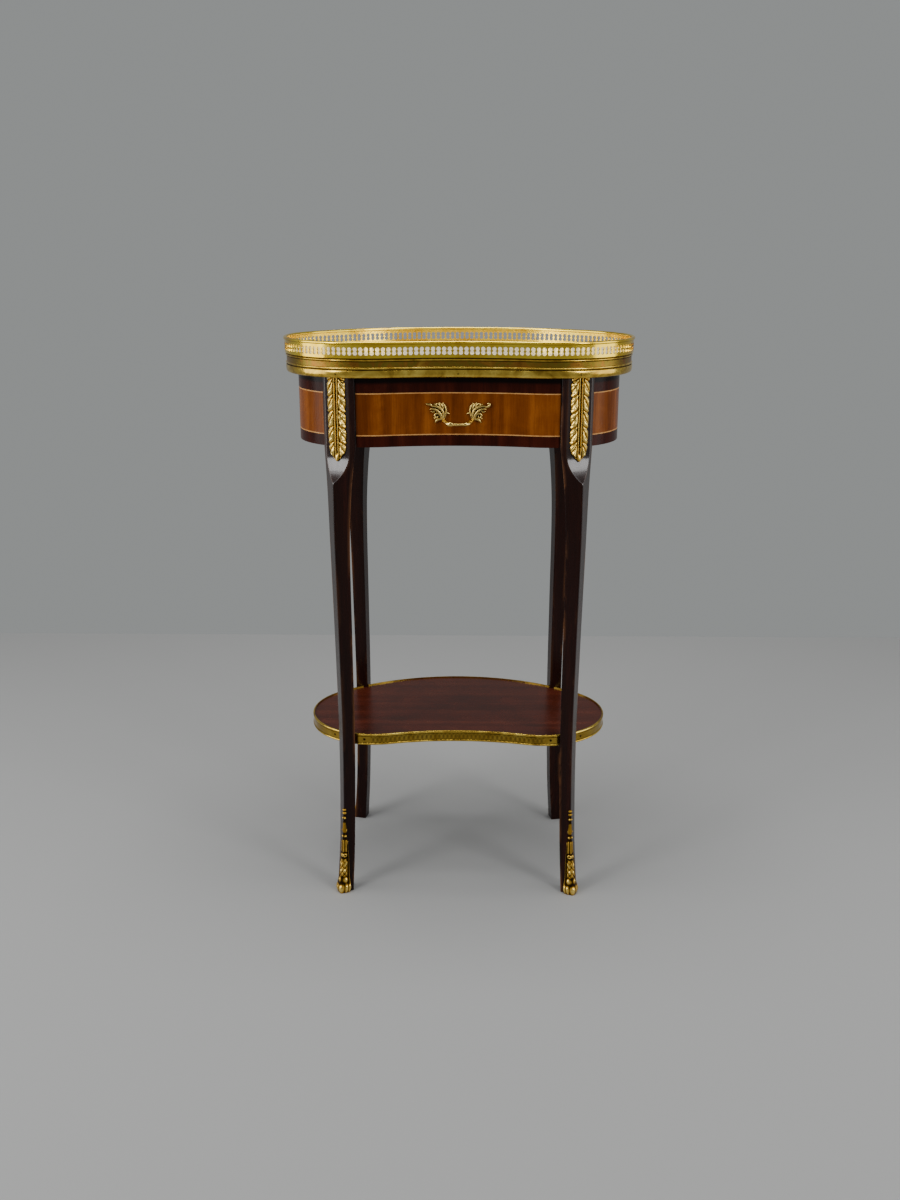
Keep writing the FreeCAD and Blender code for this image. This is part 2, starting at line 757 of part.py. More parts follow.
def make_leg(leg):
    body = new_body(f"{leg}_leg_blank")
    sections = [leg_section(body, *station) for station in LEG_STATIONS]
    loft = body.newObject("PartDesign::AdditiveLoft", f"{leg}_leg_loft")
    loft.Profile = sections[0]
    loft.Sections = sections[1:]
    pad(body, leg_section(body, *LEG_STATIONS[-1]), "dims.apron_height")

    # the broad facet of the block runs out through a scoop below the apron
    scoop = sketch_on(body, "XZ_Plane")
    radius = "dims.facet_scoop_radius"
    start = "(dims.apron_base - dims.facet_below_apron)"
    x, z, r = value("dims.facet_proud"), value(start), value(radius)
    out = value("dims.facet_proud + dims.facet_scoop_radius")
    high = value(APRON_TOP)
    bend = Part.Circle(Vector(out, z, 0), Vector(0, 0, 1), r)
    curve = scoop.addGeometry(Part.ArcOfCircle(bend, math.pi, 1.5 * math.pi), False)
    edge = [Vector(out, z - r, 0), Vector(out, high, 0), Vector(x, high, 0), Vector(x, z, 0)]
    lines = [scoop.addGeometry(Part.LineSegment(p, q), False) for p, q in zip(edge, edge[1:])]
    joints = ((curve, 2, lines[0], 1), (lines[0], 2, lines[1], 1), (lines[1], 2, lines[2], 1), (lines[2], 2, curve, 1))
    for joint in joints:
        scoop.addConstraint(Sketcher.Constraint("Coincident", *joint))
    place_point(scoop, curve, 1, "dims.facet_proud", start)
    place_point(scoop, curve, 2, f"dims.facet_proud + {radius}", f"{start} - {radius}")
    constrain(scoop, "Radius", (curve,), radius)
    place_point(scoop, lines[1], 1, f"dims.facet_proud + {radius}", APRON_TOP)
    place_point(scoop, lines[1], 2, "dims.facet_proud", APRON_TOP)
    facet = body.newObject("PartDesign::Pocket", f"{leg}_leg_facet")
    facet.Profile = scoop
    facet.Type = "ThroughAll"
    facet.SideType = "Symmetric"
    stand_at_leg(body, leg)
    return bored(body, f"{leg}_leg")


# Gilt fall on the facet: a scalloped leaf, crowned, with a double rib down its middle
CHUTE_LOBES = 6


def make_chute(leg):
    top = value(APRON_TOP)
    length = value("dims.chute_length")
    half = value("dims.chute_width") / 2
    thickness = value("dims.chute_thickness")
    crown = value("dims.chute_crown_radius")
    rib = value("dims.chute_rib_radius")
    face = value("dims.facet_proud")
    step = length / CHUTE_LOBES
    valley = 0.8

    def edge_width(number):
        return half * valley * math.sqrt(1 - (number / CHUTE_LOBES) ** 8)

    notches = [Vector(face, edge_width(i), top - i * step) for i in range(CHUTE_LOBES + 1)]
    arcs = []
    for upper, lower in zip(notches, notches[1:]):
        middle = (upper + lower) * 0.5
        bulge = Vector(0, half * (1 - valley), -step / 8)
        arcs.append(Part.Arc(upper, middle + bulge, lower).toShape())
    mirror = FreeCAD.Matrix()
    mirror.A22 = -1
    arcs += [arc.transformGeometry(mirror) for arc in arcs]
    arcs.append(Part.makeLine(notches[0], Vector(face, -notches[0].y, top)))
    leaf = Part.Face(Part.Wire(Part.__sortEdges__(arcs))).extrude(Vector(crown, 0, 0))
    centre = Vector(face + thickness - crown, 0, top - length)
    leaf = leaf.common(Part.makeCylinder(crown, length, centre, Vector(0, 0, 1)))
    # the ribs stop short of the leaf's tip, and their back halves are cut off
    rib_length = length * valley
    for side in (-1, 1):
        foot = Vector(face + thickness - rib / 2, side * rib, top - rib_length)
        leaf = leaf.fuse(Part.makeCylinder(rib, rib_length, foot, Vector(0, 0, 1)))
    # below the apron the leaf's back follows the scoop that runs the facet out
    scoop = value("dims.facet_scoop_radius")
    start = value("dims.apron_base - dims.facet_below_apron")
    wood = Part.makeBox(scoop, 2 * half, scoop, Vector(face, -half, start - scoop))
    axis = Vector(face + scoop, -half, start)
    hollow = Part.makeCylinder(scoop - value("dims.glue_line"), 2 * half, axis, Vector(0, 1, 0))
    leaf = leaf.cut(wood.cut(hollow))
    chute = doc.addObject("Part::Feature", f"{leg}_chute_blank")
    chute.Shape = leaf.removeSplitter()
    chute.Placement = leg_placement(leg)
    return bored(chute, f"{leg}_chute")


# Gilt shoe: it wraps the outer corner of the foot and tapers up the blunted corner
def sabot_section(body, height, reach, half, thickness, wrap):
    sketch = sketch_on(body, "XY_Plane", height)
    face = f"({reach} + {half} - {CHAMFER} + {thickness})"
    shoulder = f"({CHAMFER} + {thickness} * tan(22.5))"
    fall = f"({wrap} / sqrt(2))"
    bite = f"(({thickness} + dims.sabot_thickness) / sqrt(2))"
    corners = []
    for side, order in ((-1, 1), (1, -1)):
        half_run = [
            (face, f"{side} * {shoulder}"),
            (f"{face} - {fall}", f"{side} * ({shoulder} + {fall})"),
            (f"{face} - {fall} - {bite}", f"{side} * ({shoulder} + {fall} - {bite})"),
        ]
        corners += half_run[::order]
    polygon(sketch, corners)
    return sketch


def make_sabot(leg, leg_solid):
    body = new_body(f"{leg}_sabot_blank")
    foot_half, ankle_half = LEG_STATIONS[0][2], LEG_STATIONS[1][2]
    wing = "(dims.sabot_wing_height / dims.ankle_height)"
    wing_reach = f"(dims.foot_reach + (dims.ankle_reach - dims.foot_reach) * {wing})"
    wing_half = f"({foot_half} + ({ankle_half} - {foot_half}) * {wing})"
    waist_share = f"((dims.sabot_height - dims.ankle_height) / ({SHELF_MIDDLE} - dims.ankle_height))"
    top_reach = f"(dims.ankle_reach + (dims.waist_reach - dims.ankle_reach) * {waist_share})"
    stations = (
        ("0", "dims.foot_reach", foot_half, "dims.sabot_toe_thickness", "dims.sabot_toe_wrap"),
        ("dims.sabot_wing_height", wing_reach, wing_half, "dims.sabot_thickness", "dims.sabot_wing_wrap"),
        ("dims.sabot_neck_height", "dims.ankle_reach", ankle_half, "dims.sabot_thickness", "dims.sabot_neck_wrap"),
        ("dims.sabot_height", top_reach, ankle_half, "dims.sabot_thickness * 0.6", "dims.sabot_neck_wrap * 0.65"),
    )
    sections = [sabot_section(body, *station) for station in stations]
    loft = body.newObject("PartDesign::AdditiveLoft", f"{leg}_sabot_loft")
    loft.Profile = sections[0]
    loft.Sections = sections[1:]
    stand_at_leg(body, leg)
    shoe = doc.addObject("Part::Cut", f"{leg}_sabot_shell")
    shoe.Base = body
    shoe.Tool = leg_solid
    return bored(shoe, f"{leg}_sabot")


# Lower shelf, notched for the legs, with a brass band in each bay
WAIST_HALF = half_diagonal("dims.waist_side")
WAIST_CUT = f"({WAIST_HALF} + dims.joint_gap * sqrt(2))"


def make_shelf():
    board = new_body("shelf_board_blank")
    sketch = sketch_on(board, "XY_Plane", "dims.shelf_height")
    outline(sketch, SHELF_BOARD_INSET)
    pad(board, sketch, "dims.shelf_thickness")
    notches = sketch_on(board, "XY_Plane", SHELF_TOP)
    for leg in LEGS:
        reach = "dims.waist_reach"
        corners = ((WAIST_CUT, "0"), ("0", WAIST_CUT), (f"-{WAIST_CUT}", "0"), ("0", f"-{WAIST_CUT}"))
        polygon(notches, [leg_point(leg, f"{reach} + {u}", v) for u, v in corners])
    cut_through(board, notches)
    bored(board, "shelf_board")

    band_top = "(dims.shelf_height + dims.shelf_band_height)"
    flat = "dims.shelf_bead_relief"
    corners = (
        ("dims.shelf_band_thickness", "0"),
        ("0", "0"),
        ("0", f"dims.shelf_bead - {flat}"),
        (flat, "dims.shelf_bead"),
        (flat, "dims.shelf_band_height - dims.shelf_bead"),
        ("0", f"dims.shelf_band_height - dims.shelf_bead + {flat}"),
        ("0", "dims.shelf_band_height"),
        ("dims.shelf_band_thickness", "dims.shelf_band_height"),
    )
    front = f"({FRONT_FACE_Y} + dims.shelf_inset)"
    for bay in BAYS:
        band = new_body(f"shelf_{bay}_band_strip")
        path = sketch_on(band, "XY_Plane", "dims.shelf_height")
        outline(path, "dims.shelf_inset")
        profile = sketch_on(band, "YZ_Plane")
        polygon(profile, [(f"{front} + {inset}", f"dims.shelf_height + {lift}") for inset, lift in corners])
        sweep_round(band, path, profile)
        ends = sketch_on(band, "XY_Plane", band_top)
        polygon(ends, bay_cut(bay, "dims.waist_reach", WAIST_CUT))
        cut_through(band, ends)
        bored(band, f"shelf_{bay}_band")


# Drawer: a hollow front between the leg blocks, on a plain box that slides on two runners
DRAWER_FRONT_TOP = f"({APRON_TOP} - dims.drawer_gap)"
PULL_BOLT_Z = "(dims.pull_height + dims.pull_bolt_lift)"


def drawer_region():
    """Plan of what lies outside the drawer front."""
    return (
        (f"-{DRAWER_FRONT_HALF}", f"-{FAR}"),
        (f"-{DRAWER_FRONT_HALF}", END_Y),
        (DRAWER_FRONT_HALF, END_Y),
        (DRAWER_FRONT_HALF, f"-{FAR}"),
        (FAR, f"-{FAR}"),
        (FAR, FAR),
        (f"-{FAR}", FAR),
        (f"-{FAR}", f"-{FAR}"),
    )


def bore_for_bolts(body, start, to_front):
    """Bolt holes from the plane y = start, to the front or to the back."""
    sketch = sketch_on(body, "XZ_Plane", f"-({start})")
    for side in (-1, 1):
        radius = "dims.pull_bolt_diameter / 2 + dims.fit_gap"
        circle(sketch, f"{side} * dims.pull_bolt_place", PULL_BOLT_Z, radius)
    cut_through(body, sketch).Reversed = to_front


SIDE_TOP = f"({DRAWER_FLOOR} + dims.drawer_side_height)"
SIDE_INNER = f"({DRAWER_HALF} - dims.drawer_side_thickness)"
GROOVE_LOW = f"({DRAWER_FLOOR} + dims.drawer_groove_lift)"
GROOVE_HIGH = f"({GROOVE_LOW} + dims.drawer_bottom_thickness + dims.slide_gap)"
# deepest y of the drawer front's back where the sides meet it
SIDE_SEAT_Y = f"({END_Y} - sqrt((dims.end_radius - {INNER_INSET})^2 - ({END_X} - {SIDE_INNER})^2))"
SIDE_START_Y = f"({SIDE_SEAT_Y} - dims.drawer_joint_depth)"


def make_drawer():
    region = drawer_region()
    levels = [("dims.apron_base", DRAWER_FRONT_TOP)]
    front = keep(bay_piece("drawer_front", region, CORE_INSET, INNER_INSET, levels, DRAWER_FRONT_TOP))
    housing = sketch_on(front, "XY_Plane", f"{SIDE_TOP} + dims.fit_gap")
    for low, high in ((SIDE_INNER, DRAWER_HALF), (f"-{DRAWER_HALF}", f"-{SIDE_INNER}")):
        edges = (f"{low} - dims.fit_gap", f"{high} + dims.fit_gap")
        rectangle(housing, *edges, f"{SIDE_START_Y} - dims.fit_gap", END_Y)
    cut_depth(front, housing, "dims.drawer_side_height + 2 * dims.fit_gap")
    bore_for_bolts(front, END_Y, True)
    face_with_veneer("drawer", region, DRAWER_FRONT_TOP)
    bore_for_bolts(next(piece for piece in pieces if piece.Label == "drawer_panel"), END_Y, True)

    for name, side in (("left", -1), ("right", 1)):
        body = keep(new_body(f"drawer_{name}_side"))
        sketch = sketch_on(body, "XZ_Plane", f"-dims.drawer_box_back")
        groove = f"({SIDE_INNER} + dims.drawer_groove_depth)"
        corners = (
            (DRAWER_HALF, DRAWER_FLOOR),
            (DRAWER_HALF, SIDE_TOP),
            (SIDE_INNER, SIDE_TOP),
            (SIDE_INNER, GROOVE_HIGH),
            (groove, GROOVE_HIGH),
            (groove, GROOVE_LOW),
            (SIDE_INNER, GROOVE_LOW),
            (SIDE_INNER, DRAWER_FLOOR),
        )
        polygon(sketch, [(f"{side} * {x}", z) for x, z in corners])
        pad(body, sketch, f"dims.drawer_box_back - {SIDE_START_Y}")

    back = keep(new_body("drawer_back"))
    sketch = sketch_on(back, "XY_Plane", GROOVE_HIGH)
    reach = f"({SIDE_INNER} - dims.fit_gap)"
    back_front = "dims.drawer_box_back - dims.drawer_back_thickness"
    rectangle(sketch, f"-{reach}", reach, back_front, "dims.drawer_box_back")
    pad(back, sketch, f"{SIDE_TOP} - {GROOVE_HIGH}")

    bottom = keep(new_body("drawer_bottom"))
    sketch = sketch_on(bottom, "XY_Plane", GROOVE_LOW)
    reach = f"({SIDE_INNER} + dims.drawer_groove_depth - dims.fit_gap)"
    rectangle(sketch, f"-{reach}", reach, f"-{FAR} / 2", "dims.drawer_box_back")
    pad(bottom, sketch, "dims.drawer_bottom_thickness")
    trim_to_outline(bottom, f"{INNER_INSET} + dims.glue_line", GROOVE_HIGH)


def make_runners():
    inner = f"({DRAWER_HALF} + dims.slide_gap - dims.runner_width)"
    guide = f"({DRAWER_HALF} + dims.slide_gap)"
    outer = f"({guide} + dims.guide_thickness)"
    rail_back = f"({FRONT_RAIL_INSET} + dims.front_rail_depth + dims.joint_gap)"
    start = f"({END_Y} - sqrt((dims.end_radius - {rail_back})^2 - ({outer} - {END_X})^2))"
    for name, side in (("left", -1), ("right", 1)):
        body = keep(new_body(f"{name}_runner"))
        low, high = (inner, outer) if side > 0 else (f"-{outer}", f"-{inner}")
        base = sketch_on(body, "XY_Plane", f"{RUNNER_TOP} - dims.runner_thickness")
        rectangle(base, low, high, start, f"{FAR} / 2")
        pad(body, base, "dims.runner_thickness")
        low, high = (guide, outer) if side > 0 else (f"-{outer}", f"-{guide}")
        wall = sketch_on(body, "XY_Plane", RUNNER_TOP)
        rectangle(wall, low, high, start, f"{FAR} / 2")
        pad(body, wall, "dims.guide_height")
        trim_to_outline(body, f"{INNER_INSET} + dims.joint_gap", f"{RUNNER_TOP} + dims.guide_height")


# Gilt pull: two leaf sprays on the drawer front, joined by a bow that stands clear of it
# outline of the right spray from the bow's root, as shares of its width and height
PULL_LEAF = (
    (-0.12, -0.1),
    (0.33, -0.14),
    (0.28, 0.08),
    (0.42, 0.2),
    (0.42, 0.35),
    (0.58, 0.6),
    (0.77, 0.81),
    (0.22, 0.86),
    (-0.09, 0.74),
    (-0.13, 0.54),
    (-0.23, 0.37),
    (-0.1, 0.25),
)


def make_pull():
    pull = keep(new_body("drawer_pull"))
    half = "(dims.pull_bow_span / 2)"
    apron_face = f"({FRONT_FACE_Y} + dims.apron_inset)"
    bow_y = f"({apron_face} - dims.pull_bow_reach)"
    radius = "(dims.pull_bow_diameter / 2)"

    # the bow leaves each spray, bends and runs across
    path = sketch_on(pull, "XY_Plane", "dims.pull_height")
    bend = f"({radius} * 3)"
    corner = f"({half} - {bend})"
    start_y = f"({apron_face} - {radius})"
    x, c = value(half), value(corner)
    y0, y1 = value(start_y), value(bow_y)
    b = value(bend)
    runs = [
        Part.LineSegment(Vector(-x, y0, 0), Vector(-x, y1 + b, 0)),
        Part.ArcOfCircle(Part.Circle(Vector(-c, y1 + b, 0), Vector(0, 0, 1), b), math.pi, 1.5 * math.pi),
        Part.LineSegment(Vector(-c, y1, 0), Vector(c, y1, 0)),
        Part.ArcOfCircle(Part.Circle(Vector(c, y1 + b, 0), Vector(0, 0, 1), b), 1.5 * math.pi, 2 * math.pi),
        Part.LineSegment(Vector(x, y1 + b, 0), Vector(x, y0, 0)),
    ]
    for run in runs:
        path.addGeometry(run, False)
    for first, second in ((0, 1), (1, 2), (2, 3), (3, 4)):
        path.addConstraint(Sketcher.Constraint("Tangent", first, 2, second, 1))
    place_point(path, 0, 1, f"-{half}", start_y)
    place_point(path, 4, 2, half, start_y)
    place_point(path, 1, 3, f"-{corner}", f"{bow_y} + {bend}")
    place_point(path, 3, 3, corner, f"{bow_y} + {bend}")
    profile = sketch_on(pull, "XZ_Plane", f"-{start_y}")
    circle(profile, f"-{half}", "dims.pull_height", radius)
    sweep_round(pull, path, profile)

    for side in (-1, 1):
        leaf = sketch_on(pull, "XZ_Plane", f"-{apron_face} - dims.pull_leaf_thickness")
        corners = []
        for across, lift in PULL_LEAF:
            x_place = f"{side} * ({half} + {across} * dims.pull_leaf_width)"
            corners.append((x_place, f"dims.pull_height + {lift} * dims.pull_leaf_height"))
        polygon(leaf, corners)
        feature = pad(pull, leaf, "4 * dims.pull_leaf_thickness")
        feature.SideType = "Symmetric"
    seat = sketch_on(pull, "XY_Plane", f"dims.pull_height + {FAR} / 2")
    outline(seat, "dims.apron_inset - dims.glue_line")
    cut_through(pull, seat)
    bore_for_bolts(pull, f"{apron_face} - dims.pull_socket_depth", False)


def make_bolts():
    """Bolts in the back of the pull, with square nuts inside the drawer."""
    bolts, nuts = [], []
    diameter = value("dims.pull_bolt_diameter")
    width, thickness = value("dims.pull_nut_width"), value("dims.pull_nut_thickness")
    z = value(PULL_BOLT_Z)
    for side in (-1, 1):
        x = side * value("dims.pull_bolt_place")
        face = value(f"{FRONT_FACE_Y} + dims.apron_inset - dims.pull_socket_depth") + FIT
        back = value(f"{FRONT_Y} + sqrt((dims.front_radius + {INNER_INSET})^2 - {x}^2)") + 2 * FIT
        inward = Vector(0, 1, 0)
        bolts.append(peg(Vector(x, face, z), inward, back + thickness + FIT - face, diameter))
        nut = Part.makeBox(width, thickness, width, Vector(x - width / 2, back, z - width / 2))
        nuts.append(nut.cut(peg(Vector(x, back, z), inward, thickness, diameter + 2 * FIT)))
    for label, solids in (("pull_bolts", bolts), ("pull_nuts", nuts)):
        feature = doc.addObject("Part::Feature", label)
        feature.Shape = Part.makeCompound(solids)
        keep(feature, label)


make_top()
make_moulding()
make_gallery()
make_apron()
for leg_name in LEGS:
    leg_piece = make_leg(leg_name)
    make_chute(leg_name)
    make_sabot(leg_name, leg_piece)
make_shelf()
make_drawer()
make_runners()
make_pull()
make_bolts()

doc.recompute()
failed = [item.Label for item in doc.Objects if "Invalid" in item.State or "Error" in item.State]
for piece in pieces:
    if piece.Shape.isNull() or not piece.Shape.isValid() or not piece.Shape.Solids:
        failed.append(piece.Label)
if failed:
    raise RuntimeError(f"these pieces did not build: {sorted(set(failed))}")

os.makedirs("parts", exist_ok=True)
for piece in pieces:
    piece.Shape.exportStep(f"parts/{piece.Label}.step")
print(f"{len(pieces)} pieces written")
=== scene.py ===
import json
import math

import bmesh
import bpy
from mathutils import Matrix, Vector, noise


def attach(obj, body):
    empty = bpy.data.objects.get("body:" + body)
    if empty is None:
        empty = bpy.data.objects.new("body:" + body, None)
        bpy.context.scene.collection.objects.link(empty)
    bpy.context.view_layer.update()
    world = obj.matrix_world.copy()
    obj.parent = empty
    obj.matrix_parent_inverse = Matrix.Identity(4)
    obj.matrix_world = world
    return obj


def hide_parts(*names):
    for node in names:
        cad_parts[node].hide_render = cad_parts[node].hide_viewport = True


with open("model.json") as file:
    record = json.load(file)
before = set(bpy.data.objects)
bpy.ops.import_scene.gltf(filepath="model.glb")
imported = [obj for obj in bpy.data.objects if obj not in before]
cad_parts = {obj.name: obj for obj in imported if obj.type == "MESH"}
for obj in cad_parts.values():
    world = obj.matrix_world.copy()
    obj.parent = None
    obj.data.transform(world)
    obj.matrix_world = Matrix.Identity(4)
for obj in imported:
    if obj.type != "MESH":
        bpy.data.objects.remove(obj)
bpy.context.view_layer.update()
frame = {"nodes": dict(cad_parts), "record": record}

mm = 0.001
fineWeld = 0.000005  # distances at which points are joined, in metres
weld = 0.00001
wideWeld = 0.00002
cadNodes = frame["nodes"]
print("frame loaded with", len(cadNodes), "nodes")


# shader maths
class Wire:  # a socket that takes part in Python expressions
    def __init__(self, tree, socket=None):
        self.tree = tree
        self.socket = socket

    def node(self, kind, settings=None, sockets=None, out=0):
        made = self.tree.nodes.new("ShaderNode" + kind)
        for name, setting in (settings or {}).items():
            if name == "stops":
                stops = made.color_ramp.elements
                stops.remove(stops[1])
                for number, (place, tint) in enumerate(setting):
                    stop = stops[0] if number == 0 else stops.new(place)
                    stop.position = place
                    stop.color = colour(*tint)
            else:
                setattr(made, name, setting)
        for name, value in (sockets or {}).items():
            if isinstance(value, Wire):
                self.tree.links.new(value.socket, made.inputs[name])
            else:
                made.inputs[name].default_value = value
        return Wire(self.tree, made.outputs[out])

    def maths(self, operation, first, second=0.0):
        return self.node("Math", {"operation": operation}, {0: first, 1: second})

    def __add__(self, other):
        return self.maths("ADD", self, other)

    def __radd__(self, other):
        return self.maths("ADD", other, self)

    def __sub__(self, other):
        return self.maths("SUBTRACT", self, other)

    def __rsub__(self, other):
        return self.maths("SUBTRACT", other, self)

    def __mul__(self, other):
        return self.maths("MULTIPLY", self, other)

    def __rmul__(self, other):
        return self.maths("MULTIPLY", other, self)

    def __abs__(self):
        return self.maths("ABSOLUTE", self)

    def larger(self, other):
        return self.maths("MAXIMUM", self, other)

    def axis(self, letter):  # one coordinate of a place
        return self.node("SeparateXYZ", None, {"Vector": self}, letter)

    def painted(self, name):  # a value painted on the mesh
        return self.node("Attribute", {"attribute_name": name}, None, "Fac")

    def ramp(self, *stops):
        return self.node("ValToRGB", {"stops": stops}, {"Fac": self})

    def between(self, low, high):  # 0 below low, 1 above high, smooth on the way
        settings = {"interpolation_type": "SMOOTHSTEP"}
        return self.node("MapRange", settings, {"Value": self, "From Min": low, "From Max": high})

    def within(self, rise, full, fade, end):  # 1 from full to fade, 0 before rise and after end
        return self.between(rise, full) * (1 - self.between(fade, end))

    def mix(self, first, second):  # from one colour to another by this value
        return self.node("Mix", {"data_type": "RGBA"}, {0: self, 6: first, 7: second}, 2)

    def stretched(self, scale):
        return self.node("Mapping", None, {"Vector": self, "Scale": scale})

    def cloud(self, scale, detail, rough, warp=0.0):
        sockets = {"Vector": self, "Scale": scale, "Detail": detail, "Roughness": rough, "Distortion": warp}
        return self.node("TexNoise", None, sockets)

    def bump(self, strength, depth):
        return self.node("Bump", None, {"Height": self, "Strength": strength, "Distance": depth}, "Normal")


def colour(*rgb):
    return (*rgb, 1.0)


def makeFinish(name, fixed, varying):
    finish = bpy.data.materials.new(name)
    finish.use_nodes = True
    tree = finish.node_tree
    shader = tree.nodes["Principled BSDF"]
    for socket, value in fixed.items():
        shader.inputs[socket].default_value = value
    place = Wire(tree).node("TexCoord", out="Object")
    for socket, value in varying(place).items():
        tree.links.new(value.socket, shader.inputs[socket])
    return finish


# brass and bronze, with the heights in metres of the rim's foot, the flats and each groove; painted shade
# goes in a line under the rim, into each groove and onto the shelf band's front flat
brassMarks = {
    "rimShade": (0.7209, 0.7213, 0.7218, 0.7222),
    "topFlat": (0.6946, 0.6950, 0.7010, 0.7014),
    "lipShade": (0.7036, 0.7040),
    "shelfShade": (0.2072, 0.2076, 0.2156, 0.2160),
    "grooveShade": (
        (0.6909, 0.6913, 0.6922, 0.6925), (0.7010, 0.7013, 0.7018, 0.7021),
        (0.2067, 0.2070, 0.2073, 0.2076), (0.2157, 0.2160, 0.2164, 0.2167),
    ),
}


def polishedBrass(place):
    rimFootShade = place.axis("Z").within(*brassMarks["rimShade"])
    smear = place.cloud(26, 4, 0.6, 0.8)
    spots = place.cloud(420, 2, 0.5).between(0.71, 0.78)
    gold = smear.ramp((0.25, (0.68, 0.40, 0.030)), (0.5, (0.92, 0.63, 0.058)), (0.75, (0.98, 0.77, 0.10)))
    dents = place.cloud(70, 2, 0.5) * 0.8 + place.cloud(900, 2, 0.5) * 0.05
    # dark dust specks, and painted shade in a line under the rim's overhang
    dirtAndShade = 0.6 * spots + 0.7 * rimFootShade
    return {
        "Base Color": dirtAndShade.mix(gold, colour(0.10, 0.06, 0.008)),
        "Roughness": 0.09 + 0.17 * smear + 0.2 * spots,
        "Normal": dents.bump(0.16, 0.0012),
    }


def agedShadedBrass(place):
    z = place.axis("Z")
    topFlat = z.within(*brassMarks["topFlat"])
    shelfShade = z.within(*brassMarks["shelfShade"])
    # painted shade: the lip recess under the gallery wall and each moulding groove are darkened to near
    # black
    grooveShade = z.between(*brassMarks["lipShade"])
    for marks in brassMarks["grooveShade"]:
        grooveShade = grooveShade + z.within(*marks)
    patches = place.cloud(34, 4, 0.65, 1.2)
    specks = place.cloud(330, 3, 0.6)
    gold = patches.ramp(
        (0.34, (0.33, 0.19, 0.024)), (0.52, (0.64, 0.42, 0.062)), (0.70, (0.88, 0.64, 0.12)),
    )
    patina = patches.ramp(
        (0.28, (0.12, 0.045, 0.009)), (0.42, (0.28, 0.12, 0.022)), (0.52, (0.17, 0.13, 0.018)),
        (0.62, (0.24, 0.09, 0.016)), (0.78, (0.42, 0.27, 0.035)),
    )
    dark = specks.between(0.60, 0.72)
    tone = (topFlat * 0.92).mix(gold, patina)
    # painted shade: the shelf band's front flat is darkened where it reflects the shaded floor
    tone = (shelfShade * (0.35 + 0.4 * patches)).mix(tone, colour(0.17, 0.10, 0.012))
    hollows = place.painted("relief")
    tone = (hollows * (0.5 + 0.6 * patches)).mix(tone, colour(0.075, 0.036, 0.006))
    # dark dust specks, and the painted shade of each groove and the lip recess
    dirtAndShade = (dark * (0.2 + 0.5 * topFlat)).larger(grooveShade * 0.93)
    return {
        "Base Color": dirtAndShade.mix(tone, colour(0.03, 0.016, 0.004)),
        "Roughness": 0.12 + 0.14 * patches + 0.26 * topFlat * specks + 0.12 * dark + 0.3 * grooveShade,
        "Normal": (place.cloud(60, 2, 0.5) + 0.15 * specks).bump(0.2, 0.001),
    }


def reliefShadedBronze(bright, deep, hollow):
    def varying(place):
        low = 1 - place.axis("Z").between(0.2, 0.5)  # painted shade: the shoes, low down where less light falls, are darker than the falls
        rub = place.cloud(240, 3, 0.6)
        height = place.painted("relief") + 0.3 * rub - 0.15 - 0.28 * low
        # painted highlight and shade: the mesh's relief value, bright on raised and front-facing parts and
        # dark in hollows, sets the colour; the dark hollows are partly real patina, partly painted shade
        return {
            "Base Color": height.ramp((0.15, hollow), (0.42, deep), (0.72, bright)),
            "Roughness": 0.48 - 0.32 * height.between(0.15, 0.75) + 0.08 * rub,
            "Normal": (rub * 0.5 + place.cloud(900, 2, 0.5) * 0.3).bump(0.22, 0.0006),
        }

    return varying


# polished woods; the last argument is the range of heights, in metres, over which a dark line of painted
# shade under the brass skirt sets in
def polishedWood(tones, grain, ribbon, figure, pore, shadeHeights=None):
    broadGrain = tuple(1.0 if g == 1 else g * 0.6 for g in grain)
    dark = colour(*(0.45 * c for c in tones[0][1]))
    shadeTone = colour(0.002, 0.001, 0.0006)

    def varying(place):
        fibres = place.stretched(grain).cloud(700, 3, 0.6)
        ribbons = place.stretched(broadGrain).cloud(ribbon, 2, 0.5, 0.3)
        mottle = place.cloud(38, 3, 0.55, 0.5)
        pores = place.stretched(grain).cloud(1900, 1, 0.5).between(0.64, 0.74)
        ground = (ribbons * (1 - figure) + mottle * figure + fibres * 0.28 - 0.14).ramp(*tones)
        tone = (pores * pore).mix(ground, dark)
        # painted shade: a dark line at the top of the banding, under the overhanging skirt
        if shadeHeights:
            tone = (place.axis("Z").between(*shadeHeights) * 0.9).mix(tone, shadeTone)
        return {
            "Base Color": tone,
            "Roughness": 0.20 + 0.12 * mottle + 0.06 * pores,
            "Normal": (fibres * 0.35 - pores * 0.4 + mottle * 0.3).bump(0.06, 0.0006),
        }

    return varying


def legWood(place):
    wear = place.painted("wear")
    polish = place.painted("polish")
    fibres = place.stretched((1, 1, 0.06)).cloud(620, 3, 0.6)
    ribbons = place.stretched((1, 1, 0.03)).cloud(70, 2, 0.5)
    scuffs = place.stretched((1, 1, 0.22)).cloud(55, 4, 0.65, 0.6)
    ground = (ribbons * 0.6 + fibres * 0.4).ramp(
        (0.3, (0.0045, 0.0010, 0.0006)), (0.55, (0.012, 0.0022, 0.0011)), (0.8, (0.034, 0.006, 0.0026)),
    )
    rubbed = wear * scuffs.between(0.46, 0.64)
    return {
        "Base Color": (rubbed * 0.75).mix(ground, colour(0.17, 0.065, 0.021)),
        "Roughness": 0.18 + 0.16 * scuffs + 0.15 * rubbed,
        "Coat Weight": polish * (1.1 - 0.4 * scuffs),
        "Normal": (fibres * 0.3 + scuffs * 0.3).bump(0.07, 0.0006),
    }


